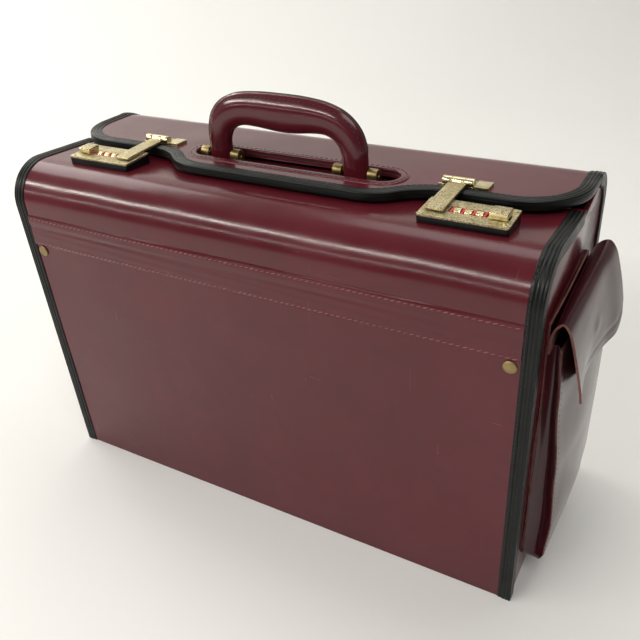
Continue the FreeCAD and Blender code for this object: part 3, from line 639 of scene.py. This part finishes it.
def lid_edge(inset):
    """Lid edge as (x, reach) from the right hinge end round the front to the left one."""
    side_reach, tongue_reach, corner, middle, half, sweep = 69.5, 95.0, 48.0, 5.0, 70.0, 60.0
    drop = tongue_reach - side_reach
    turn = 2 * math.atan2(drop, sweep)
    bend = sweep / (2 * math.sin(turn))

    def half_edge(side, centre):
        out = [(side * (HALF_X - inset), r) for r in spaced(0.6, side_reach - corner, 6)]
        c = (side * (HALF_X - corner), side_reach - corner)
        for k in range(1, 25):
            a = math.radians(90 * k / 24)
            out.append((c[0] + side * (corner - inset) * math.cos(a), c[1] + (corner - inset) * math.sin(a)))
        hollow = (centre + side * (half + sweep), side_reach + bend)
        crest = (centre + side * half, tongue_reach - bend)
        start = out[-1]
        for k in range(1, 5):
            out.append((start[0] + (hollow[0] - start[0]) * k / 5, start[1]))
        for k in range(0, 15):
            a = turn * k / 14
            out.append((hollow[0] - side * (bend + inset) * math.sin(a), hollow[1] - (bend + inset) * math.cos(a)))
        for k in range(14, -1, -1):
            a = turn * k / 14
            out.append((crest[0] + side * (bend - inset) * math.sin(a), crest[1] + (bend - inset) * math.cos(a)))
        return out

    right, left = half_edge(1, middle), half_edge(-1, middle)
    front = [(right[-1][0] + (left[-1][0] - right[-1][0]) * k / 12, right[-1][1]) for k in range(1, 12)]
    return right + front + left[::-1]


# Lid binding section: (distance in from the lid's edge, height above the lid's plane).
LID_RIBS = [(10.5, -0.98), (10.4, -0.55), (10.0, -0.40), (8.3, -0.36), (7.6, -0.42), (7.3, -0.66), (7.0, -0.30),
            (6.4, 0.05), (5.8, 0.14), (5.2, 0.05), (4.7, -0.34), (4.4, -0.34), (4.0, 0.06), (3.4, 0.16),
            (2.8, 0.06), (2.3, -0.34), (2.0, -0.34), (1.6, -0.05), (1.1, -0.06), (0.6, -0.32), (0.25, -0.85),
            (0.12, -1.5), (0.28, -1.9), (0.02, -2.4), (-0.05, -3.6), (0.0, -5.2), (0.15, -6.4), (0.6, -7.2),
            (1.4, -7.5), (10.4, -7.5), (10.4, -6.6), (2.0, -6.5), (2.0, -1.1)]


def lid_binding():
    edges = [lid_edge(inset) for inset, height in LID_RIBS]
    rings = []
    for k in range(len(edges[0])):
        rings.append([lid_point(*edge[k], height) for edge, (inset, height) in zip(edges, LID_RIBS)])
    place(loft("lid_edge_binding", rings, [BINDING], sharp=50), "lid", "binding", "lid_binding")
    seam = lid_edge(9.2)
    path = [lid_point(x, r, -0.40) for x, r in seam]
    up = (0, math.sin(TILT), math.cos(TILT))
    row = stitches("lid_binding_stitches", path, [up] * len(path), [DARK_THREAD], 4.2, 3.0, 0.6, 0.3, 0.0)
    place(row, "lid", "binding")


SLOT_X, SLOT_R = 4.5, 57.0  # middle of the handle slot, as (x, reach)
SLOT_HALF = 78.0  # half its straight length
SLOT_END = 12.5  # radius of its round ends
SLOT_POINTS = 128


def slot_point(angle_x, angle_r, grow):
    """Slot edge met by a ray from the slot's middle, widened by grow."""
    end = SLOT_END + grow
    length = math.hypot(angle_x, angle_r)
    dx, dr = angle_x / length, angle_r / length
    if abs(dr) > 1e-9 and abs(dx / dr) * end <= SLOT_HALF:
        t = end / abs(dr)
    else:
        c = SLOT_HALF * (1 if dx > 0 else -1)
        b = dx * c
        t = b + math.sqrt(b * b - (c * c - end * end))
    return (SLOT_X + dx * t, SLOT_R + dr * t)


def slot_loop(grow):
    """Slot edge with even spacing."""
    end = SLOT_END + grow
    out = []
    straight, arc = 2 * SLOT_HALF, math.pi * end
    total = 2 * (straight + arc)
    for k in range(SLOT_POINTS):
        s = total * k / SLOT_POINTS
        if s < straight:
            out.append((SLOT_X - SLOT_HALF + s, SLOT_R + end))
        elif s < straight + arc:
            a = math.pi / 2 - (s - straight) / end
            out.append((SLOT_X + SLOT_HALF + end * math.cos(a), SLOT_R + end * math.sin(a)))
        elif s < 2 * straight + arc:
            out.append((SLOT_X + SLOT_HALF - (s - straight - arc), SLOT_R - end))
        else:
            a = -math.pi / 2 - (s - 2 * straight - arc) / end
            out.append((SLOT_X - SLOT_HALF + end * math.cos(a), SLOT_R + end * math.sin(a)))
    return out


def lid_leather():
    rear = 14.0
    edge = [p for p in lid_edge(1.6) if p[1] >= rear]
    right, left = edge[0], edge[-1]
    loop = [(right[0], rear)] + edge + [(left[0], rear)]
    loop += [(left[0] + (right[0] - left[0]) * k / 40, rear) for k in range(1, 40)]
    shares = (1.0, 0.88, 0.7, 0.5, 0.32, 0.16, 0.06, 0.0)

    def ring(share, height):
        out = []
        for x, r in loop:
            sx, sr = slot_point(x - SLOT_X, r - SLOT_R, 1.5)
            px, pr = sx + (x - sx) * share, sr + (r - sr) * share
            out.append(lid_point(px, pr, height))
        return out

    rings = [ring(s, -1.0) for s in shares]
    rings += [ring(s, -6.4) for s in shares[::-1]]
    panel = loft("lid_leather", rings, [LEATHER, LINING], closed_path=True,
                 face_mat=lambda i, j: 1 if i >= len(shares) else 0)
    place(panel, "lid", "leather", "lid_panel")

    section = [(6.6, -1.02), (6.4, -0.55), (5.9, -0.30), (4.6, -0.22), (3.9, -0.32), (3.5, -0.20), (2.4, -0.02),
               (1.2, 0.02), (0.35, -0.22), (0.0, -0.9), (0.0, -2.2), (0.5, -2.5), (0.5, -3.4), (0.0, -3.7),
               (0.05, -6.3), (0.9, -6.8), (3.0, -6.9), (3.0, -6.3), (2.2, -1.1)]
    loops = [slot_loop(grow) for grow, height in section]
    rings = []
    for k in range(SLOT_POINTS):
        rings.append([lid_point(*loop[k], height) for loop, (grow, height) in zip(loops, section)])
    rim = loft("slot_rim_leather", rings, [LEATHER, DARK_EDGE], closed_path=True, sharp=50,
               face_mat=lambda i, j: 1 if 10 <= j <= 12 else 0)
    place(rim, "lid", "leather", "slot_rim")
    seam = slot_loop(4.4) + slot_loop(4.4)[:1]
    path = [lid_point(x, r, -0.28) for x, r in seam]
    up = (0, math.sin(TILT), math.cos(TILT))
    row = stitches("slot_rim_stitches", path, [up] * len(path), [DARK_THREAD], 4.4, 3.2, 0.7, 0.4, 0.1)
    place(row, "lid", "leather")


# ---------------------------------------------------------------- handle


def handle():
    hx, py = -1.5, -0.5  # the handle's middle in x and y
    steps = 96
    outer = spline([
        (-71.2, 298.0), (-71.4, 308), (-70.6, 321), (-66.0, 335.0), (-55.5, 346.2), (-40.0, 352.6), (-20, 354.8),
        (0, 355.0), (20, 354.4), (40.0, 351.8), (56.0, 345.4), (66.6, 334.4), (70.9, 321), (71.5, 308), (71.5, 298.0),
    ], steps + 1)
    inner = spline([
        (-51.0, 298.0), (-51.0, 306), (-50.2, 315.0), (-45.8, 323.2), (-36, 328.0), (-22, 328.0), (-8, 326.6),
        (4, 326.0), (14, 326.6), (26, 328.0), (38, 328.0), (46.4, 323.2), (50.4, 315.0), (51.0, 306), (51.0, 298.0),
    ], steps + 1)

    def outward(k):
        (ox, oz), (ix, iz) = outer[k], inner[k]
        length = math.hypot(ox - ix, oz - iz)
        return ((ox - ix) / length, (oz - iz) / length)

    section = []
    for k in range(40):
        a = 2 * math.pi * (k + 0.5) / 40 - math.pi / 2
        section.append((math.cos(a), math.sin(a)))
    rings = []
    for k, ((ox, oz), (ix, iz)) in enumerate(zip(outer, inner)):
        share = k / steps
        foot = smoothstep(0, 0.05, share) * smoothstep(1, 0.95, share)
        belly = math.exp(-((share - 0.52) / 0.16) ** 2)
        thick = 6.6 + 0.9 * belly
        ring = []
        for c, s in section:
            pinch = 1 - 0.36 * smoothstep(0.2, 1.0, s) * foot
            half = thick * pinch * abs(c) ** 0.84 * (1 if c > 0 else -1)
            depth = 0.5 + 0.5 * (abs(s) ** (0.92 if s < 0 else 0.80)) * (1 if s > 0 else -1)
            ring.append((hx + ix + (ox - ix) * depth, py + half, iz + (oz - iz) * depth))
        rings.append(ring)
    place(loft("handle_grip_leather", rings, [GRIP], sharp=70), "handle", "leather", "handle_grip")

    fin = []
    for k in range(6, 91):
        (ox, oz), n = outer[k], outward(k)
        grow = smoothstep(6, 10, k) * smoothstep(90, 86, k)
        ring = []
        for half, high in [(-2.1, -1.3), (-1.35, 0.0), (-1.1, 0.45), (-0.2, 0.36), (0.2, 0.36), (1.1, 0.45),
                           (1.35, 0.0), (2.1, -1.3)]:
            high = high * grow - 1.0 * (1 - grow)
            ring.append((hx + ox + n[0] * high, py + half, oz + n[1] * high))
        fin.append(ring)
    seam = loft("handle_seam_edge", fin, [GRIP, DARK_EDGE], sharp=50, face_mat=lambda i, j: 1 if 1 <= j <= 5 else 0)
    place(seam, "handle", "leather")
    for side, word in ((-1, "front"), (1, "rear")):
        path, up = [], []
        for k in range(8, 89):
            (ox, oz), n = outer[k], outward(k)
            path.append((hx + ox - n[0] * 2.7, py + side * 4.15, oz - n[1] * 2.7))
            up.append((0.45 * n[0], side * 0.9, 0.45 * n[1]))
        row = stitches("handle_stitches_" + word, path, up, [DARK_THREAD], 4.2, 3.1, 0.7, 0.45, 0.1)
        place(row, "handle", "leather")


# ---------------------------------------------------------------- pocket


POCKET_NEAR, POCKET_FAR = -60.5, 47.5  # y of the pocket's two sides
POCKET_LOW, POCKET_MOUTH = 19.0, 228.0  # z of its bottom and its mouth
POCKET_CORNER = 16.0
SNAP = (-6.5, 202)  # (y, z) of the snap


def pocket_front_x(y, z):
    """Distance out of the pocket's front: (z, x) rows for its near and far sides."""
    near = [(17, 231.5), (22, 235.2), (35, 239.4), (70, 241.6), (120, 239.6), (185, 235.2), (228, 232.6)]
    far = [(17, 236.0), (22, 239.0), (35, 242.4), (70, 244.0), (120, 244.2), (185, 244.0), (228, 243.6)]

    def read(rows):
        for (z0, x0), (z1, x1) in zip(rows, rows[1:]):
            if z <= z1:
                return x0 + (x1 - x0) * smoothstep(z0, z1, z) if z > z0 else x0
        return rows[-1][1]

    share = (y - POCKET_NEAR) / (POCKET_FAR - POCKET_NEAR)
    swell = 2.2 * math.sin(math.pi * min(1, max(0, share))) * smoothstep(15, 60, z) * smoothstep(232, 190, z)
    return read(near) + (read(far) - read(near)) * smoothstep(0, 1, share) + swell


def pocket_loop(inset):
    """(y, z) down the near side, along the bottom and up the far side."""
    near, far = POCKET_NEAR + inset, POCKET_FAR - inset
    low, corner = POCKET_LOW + inset, POCKET_CORNER - inset
    out = [(near, z) for z in spaced(POCKET_MOUTH, low + corner, 44)]
    for k in range(1, 11):
        a = math.radians(180 + 9 * k)
        out.append((near + corner + corner * math.cos(a), low + corner + corner * math.sin(a)))
    out += [(y, low) for y in spaced(near + corner, far - corner, 22)[1:]]
    for k in range(1, 11):
        a = math.radians(270 + 9 * k)
        out.append((far - corner + corner * math.cos(a), low + corner + corner * math.sin(a)))
    out += [(far, z) for z in spaced(low + corner, POCKET_MOUTH, 44)[1:]]
    return out


def pocket():
    ys = spaced(POCKET_NEAR, POCKET_FAR, 40)

    def floor_z(y):
        corner = POCKET_CORNER
        d = max(0.0, POCKET_NEAR + corner - y, y - (POCKET_FAR - corner))
        return POCKET_LOW + corner - math.sqrt(max(0.0, corner * corner - d * d))

    def sheet(x_at, top_at, thick, name, nodes):
        outer, inner = [], []
        for share in spaced(0, 1, 60):
            outer.append([])
            inner.append([])
            for y in ys:
                low = floor_z(y)
                z = low + (top_at(y) - low) * share
                x = x_at(y, z)
                outer[-1].append((x + thick, y, z))
                inner[-1].append((x, y, z))
        return place(slab(name, outer, inner, [SOFT, RAW, RAW]), "case", "leather", *nodes)

    def back_x(y, z):
        return END_X + 0.1 + 0.25 * (1 + math.sin(z * 0.06 + y * 0.05))

    def mouth_z(y):
        return POCKET_MOUTH - 3.0 * math.sin(math.pi * (y - POCKET_NEAR) / (POCKET_FAR - POCKET_NEAR))

    sheet(back_x, lambda y: 246.0, 1.4, "pocket_back_leather", ["pocket_back"])
    sheet(pocket_front_x, mouth_z, 1.5, "pocket_front_leather", ["pocket_front"])

    loop, deep = pocket_loop(0.0), pocket_loop(1.2)
    outer, inner = [], []
    for (y, z), (yi, zi) in zip(loop, deep):
        low_x, high_x = END_X + 1.8, pocket_front_x(y, z) + 0.7
        away = (0.0, 1.0) if abs(y - SNAP[0]) < 38 else (-1.0 if y > SNAP[0] else 1.0, 0.0)
        row, back = [], []
        for share in spaced(0, 1, 11):
            fold = 4.6 * math.sin(math.pi * share) ** 1.4 * smoothstep(17, 60, z if away[0] else 60)
            fold *= 1.0 if away[0] else 0.35
            flare = 0.5 * (abs(2 * share - 1) ** 6)
            x = low_x + (high_x - low_x) * share
            row.append((x, y + away[0] * fold - away[0] * flare, z + away[1] * fold))
            back.append((x, yi + away[0] * fold, zi + away[1] * fold))
        outer.append(row)
        inner.append(back)
    place(slab("pocket_gusset_leather", outer, inner, [SOFT, RAW, RAW]), "case", "leather", "pocket_gusset")
    path = [(pocket_front_x(y, z) + 1.45, y, z) for y, z in pocket_loop(3.4)[1:-1]]
    seam = stitches("pocket_front_stitches", path, [(1, 0, 0)] * len(path), [DARK_THREAD], 4.8, 3.6, 0.5, 0.2, 0.15)
    place(seam, "case", "leather")


def pocket_flap():
    # For each y, (x, z) from the strip on the end panel over the crest to the loose edge.
    profiles = [
        (-64.5, [(225.6, 226), (226.0, 238), (228.6, 246.5), (233.6, 251.0), (238.4, 245.8),
                 (241.6, 236), (246.4, 217), (250.4, 199), (252.0, 187)]),
        (-45.0, [(225.5, 227), (225.9, 240), (228.8, 248.2), (234.4, 252.4), (239.2, 247.5),
                 (242.0, 237), (245.0, 218), (247.2, 200), (247.8, 186.5)]),
        (-18.0, [(225.4, 228), (225.8, 241), (229.0, 249.4), (235.0, 253.5), (239.8, 249.5),
                 (242.8, 239), (245.0, 219), (245.6, 201), (245.0, 186)]),
        (14.0, [(225.4, 228), (225.8, 242), (229.4, 250.6), (236.0, 254.6), (240.6, 251.2),
                 (243.8, 241), (247.4, 221), (249.0, 202), (248.6, 186)]),
        (36.0, [(225.4, 228), (225.8, 243), (230.0, 251.6), (237.0, 255.2), (242.0, 251.0),
                 (245.6, 241), (250.0, 222), (253.4, 201), (254.0, 186.5)]),
        (50.5, [(225.6, 227), (226.0, 243), (230.6, 252.0), (237.6, 255.4), (243.0, 249.5),
                 (246.6, 239), (250.8, 223), (254.6, 203), (255.8, 189)]),
    ]
    across, steps, crest = 45, 60, 30
    near_y, far_y = profiles[0][0], profiles[-1][0]
    ways = []
    for number in range(len(profiles[0][1])):
        ways.append(spline([(y, *rows[number]) for y, rows in profiles], across))
    lines = [spline([way[c] for way in ways], steps + 1) for c in range(across)]
    edge_low = []
    for line in lines:
        y = line[0][0]
        near_corner = max(0.0, (near_y + 13 - y) / 13)
        far_corner = max(0.0, (y - (far_y - 16)) / 16)
        near_rise = 1 - math.sqrt(max(0.0, 1 - near_corner ** 2))
        far_rise = 1 - math.sqrt(max(0.0, 1 - far_corner ** 2))
        edge_low.append(1 - 0.125 * near_rise - 0.20 * far_rise)
    outer, inner = [], []
    for k in range(steps + 1):
        row, back = [], []
        for c, line in enumerate(lines):
            s = k if k <= crest else crest + (k - crest) * (edge_low[c] * steps - crest) / (steps - crest)
            i = min(steps - 1, int(s))
            p = Vector(line[i]).lerp(Vector(line[i + 1]), s - i)
            q = Vector(line[i + 1]) - Vector(line[max(0, i - 1)])
            n = Vector((-q.z, q.y)).normalized()
            crease = 0.55 * math.exp(-((k - 54) / 1.2) ** 2) * smoothstep(0, 4, c) * smoothstep(44, 40, c)
            stud = 0.8 * math.exp(-(((p.x - SNAP[0]) / 6.5) ** 2 + ((k - 41) / 3.4) ** 2))
            out = -crease + stud
            fray = random.uniform(0.0, 0.9) * smoothstep(22, 38, k) if c == 0 else 0.0
            row.append((p.y + n.x * out, p.x + fray, p.z + n.y * out))
            back.append((p.y - n.x * 1.6, p.x + 0.6 * fray, p.z - n.y * 1.6))
        outer.append(row)
        inner.append(back)
    flap = slab("pocket_flap_leather", outer, inner, [SOFT, RAW, RAW])
    ends = ((231.0, 0, 251.5), (241.5, 0, 250.0))
    bent(flap, "case", "pocket_flap", *ends, "leather", "pocket_flap", "pocket_flap_strip")


def pocket_snap():
    stud = [(-1.0, 5.9), (0.4, 5.9), (0.8, 5.6), (0.95, 4.2), (1.1, 3.4), (1.3, 2.9), (1.9, 3.0), (2.3, 2.7),
            (2.45, 1.6)]
    place(lathe("snap_stud_brass", [(241.7, *SNAP)], (1, 0, 0), stud, [BRASS]), "case", "brass", "snap_stud")
    socket = [(0, 2.9), (0, 6.4), (0.3, 6.9), (1.6, 7.0), (2.3, 6.4), (2.6, 4.0)]
    cup = lathe("snap_socket_plastic", [(243.2, *SNAP)], (1, 0, 0), socket, [PLASTIC])
    place(cup, "pocket_flap", "lock_plastic", "snap_socket")


# ---------------------------------------------------------------- locks and fittings


def fittings():
    for word in ("left", "right"):
        refined("lock_base_" + word, "lock_base_body_" + word, PLASTIC, 0.5, "front_section", "lock_plastic",
                corner=1.7)
        refined("lock_plate_" + word, "lock_plate_brass_" + word, HAMMERED, 0.35, "front_section", "brass", 3)
        refined("lock_button_" + word, "lock_button_brass_" + word, BRASS, 0.8, "button_" + word, "brass", 3, 35,
                HAMMERED, lambda c, n: n.z > 0.9 and c.z > 307)
        refined("hasp_arm_" + word, "hasp_arm_brass_" + word, HAMMERED, 0.45, "hasp_" + word, "brass", 3, 50, BRASS,
                lambda c, n: math.hypot(c.y - 0.5, c.z - 305.9) < 3.35)
        refined("hasp_leaf_" + word, "hasp_leaf_brass_" + word, BRASS, 0.35, "lid", "brass", 2, 50)
        refined("hasp_pin_" + word, "hasp_pin_brass_" + word, BRASS, 0.2, "lid", "brass", 2)
        refined("dial_axle_" + word, "dial_axle_steel_" + word, STEEL, 0.1, "front_section", "steel", 2)
        refined("dial_spacers_" + word, "dial_separators_" + word, RED, 0.25, "front_section", "red_plastic", 2)
        for number in (1, 2, 3):
            tag = "%s_%d" % (word, number)
            refined("dial_" + tag, "dial_wheel_" + tag, BRASS, 0.12, "dial_" + tag, "dial", 1, 12)
        refined("end_panel_" + word, "end_panel_leather_" + word, LEATHER, 0.5, "case", "leather", 2)
    refined("handle_base", "handle_base_brass", AGED, 0.3, "front_section", "brass", 2, 40, LEATHER,
            lambda c, n: c.z < 295.6)
    refined("handle_backing_plate", "backing_plate_steel", STEEL, 0.3, "front_section", "steel", 2)
    refined("handle_rivets", "handle_rivet_brass", BRASS, 0.3, "front_section", "brass", 2, 50)
    refined("handle_pins", "handle_pin_brass", BRASS, 0.2, "handle", "brass", 2)
    refined("handle_frame", "handle_frame_steel", STEEL, 0.4, "handle", "steel", 2)
    refined("bottom_panel", "bottom_leather", LEATHER, 0.6, "case", "base_leather", 2)
    refined("base_board", "base_board_lining", LINING, 0.4, "case", "lining", 2)
    cap = [(-3.0, 2.2), (0.0, 2.2), (0.0, 4.75), (0.5, 4.75), (0.95, 4.3), (1.15, 3.6), (1.10, 3.0), (1.25, 2.6),
           (1.35, 1.2)]
    spots = [(-208, FRONT_Y - 0.1, 224.5), (208, FRONT_Y - 0.1, 224.5)]
    place(lathe("corner_rivet_brass", spots, (0, -1, 0), cap, [AGED]), "case", "brass", "corner_rivets")
    spots = []
    for centre in (160.5, -150.8):
        for dx in (-28.4, 28.4):
            for y in (-50.7, -27.8):
                spots.append((centre + dx, y, 303.6))
    head = [(-1.2, 1.0), (0.05, 1.0), (0.1, 1.75), (0.30, 1.7), (0.42, 1.2), (0.46, 0.5)]
    place(lathe("lock_screw_brass", spots, (0, 0, 1), head, [BRASS], 20), "front_section", "brass", "lock_screws")


front_leather()
flap_leather()
hinge_band()
rear_leather()
case_bindings()
lid_binding()
lid_leather()
handle()
pocket()
pocket_flap()
pocket_snap()
fittings()


# ---------------------------------------------------------------- floor, light, camera


def stage():
    """Floor that curves up into a backdrop, squared to the camera's heading."""
    right_x, right_y = 0.852, 0.523
    verts, faces = [], []
    profile = [(-2600, 0), (900, 0)]
    for k in range(1, 13):
        a = math.radians(7.5 * k)
        profile.append((900 + 800 * math.sin(a), 800 * (1 - math.cos(a))))
    profile.append((1700, 3400))
    for k, (d, z) in enumerate(profile):
        for side in (-4200, 4200):
            verts.append((side * right_x - d * right_y, side * right_y + d * right_x, z))
        if k:
            faces.append((2 * k - 2, 2 * k - 1, 2 * k + 1, 2 * k))
    m, t, bsdf, at = material("pale_floor")
    t.links.new(mixed(t, noise(t, at, 2.0, 2), (0.85, 0.84, 0.81), (0.89, 0.88, 0.85)), bsdf.inputs["Base Color"])
    bsdf.inputs["Roughness"].default_value = 0.7
    piece("floor_and_backdrop", verts, faces, [m])


def area(name, spot, target, width, height, power, colour, along=(1, 0, 0)):
    """Rectangular light whose long side runs as nearly along the given direction as it can."""
    data = bpy.data.lights.new(name, "AREA")
    data.shape = "RECTANGLE"
    data.size, data.size_y = width, height
    data.energy = power
    data.color = colour
    obj = bpy.data.objects.new(name, data)
    bpy.context.scene.collection.objects.link(obj)
    back = (Vector(spot) - Vector(target)).normalized()
    across = (Vector(along) - back * Vector(along).dot(back)).normalized()
    obj.matrix_world = Matrix.Translation(spot) @ Matrix((across, back.cross(across), back)).transposed().to_4x4()


stage()
tube = (-0.96, 0.28, 0.0)  # the way the two tubes run
area("ceiling_tube", (-1.30, -1.60, 1.60), (0, -0.08, 0.28), 2.6, 0.10, 29.0, (1.0, 0.97, 0.92), tube)
area("second_tube", (-1.10, -2.30, 0.95), (0, -0.08, 0.28), 2.8, 0.05, 7.0, (1.0, 0.98, 0.95), tube)
area("left_window", (-1.70, 0.45, 1.40), (0.3, 0.9, 0.0), 1.2, 1.0, 14.0, (1.0, 0.985, 0.95))
area("ceiling", (0.0, 0.75, 2.2), (0, 0.2, 0.1), 1.8, 1.0, 13.0, (1.0, 0.99, 0.96))
area("front_fill", (0.95, -1.05, 2.0), (0, 0, 0.1), 1.2, 1.2, 16.0, (1.0, 0.99, 0.97))


def room(front, rear, strength):
    """Surroundings that are dim in front and to the right, and bright behind and to the left."""
    world = bpy.data.worlds.new("room")
    world.use_nodes = True
    t = world.node_tree
    toward = t.nodes.new("ShaderNodeVectorMath")
    toward.operation = "DOT_PRODUCT"
    toward.inputs[1].default_value = (-0.60, 0.80, 0.0)
    t.links.new(t.nodes.new("ShaderNodeTexCoord").outputs["Generated"], toward.inputs[0])
    colour = mixed(t, spread(t, toward.outputs["Value"], -0.25, 0.55, 0, 1), front, rear)
    back = t.nodes["Background"]
    t.links.new(colour, back.inputs["Color"])
    back.inputs["Strength"].default_value = strength
    bpy.context.scene.world = world


room((0.20, 0.20, 0.20), (0.90, 0.89, 0.86), 0.6)

# The camera looks down on the front and the pocket end, from the right.
right = Vector((0.87197855, 0.48507889, -0.06596881))
forward = Vector((-0.43841996, 0.71383703, -0.54609947))
up = right.cross(forward)
camera = bpy.data.objects.new("camera", bpy.data.cameras.new("camera"))
bpy.context.scene.collection.objects.link(camera)
camera.data.lens = 41.585
camera.data.sensor_width = 36
turned = Matrix((right, up, -forward)).transposed().to_4x4()
camera.matrix_world = Matrix.Translation((0.30159, -0.46224, 0.51256)) @ turned
bpy.context.scene.camera = camera
bpy.context.scene.view_settings.view_transform = "Standard"
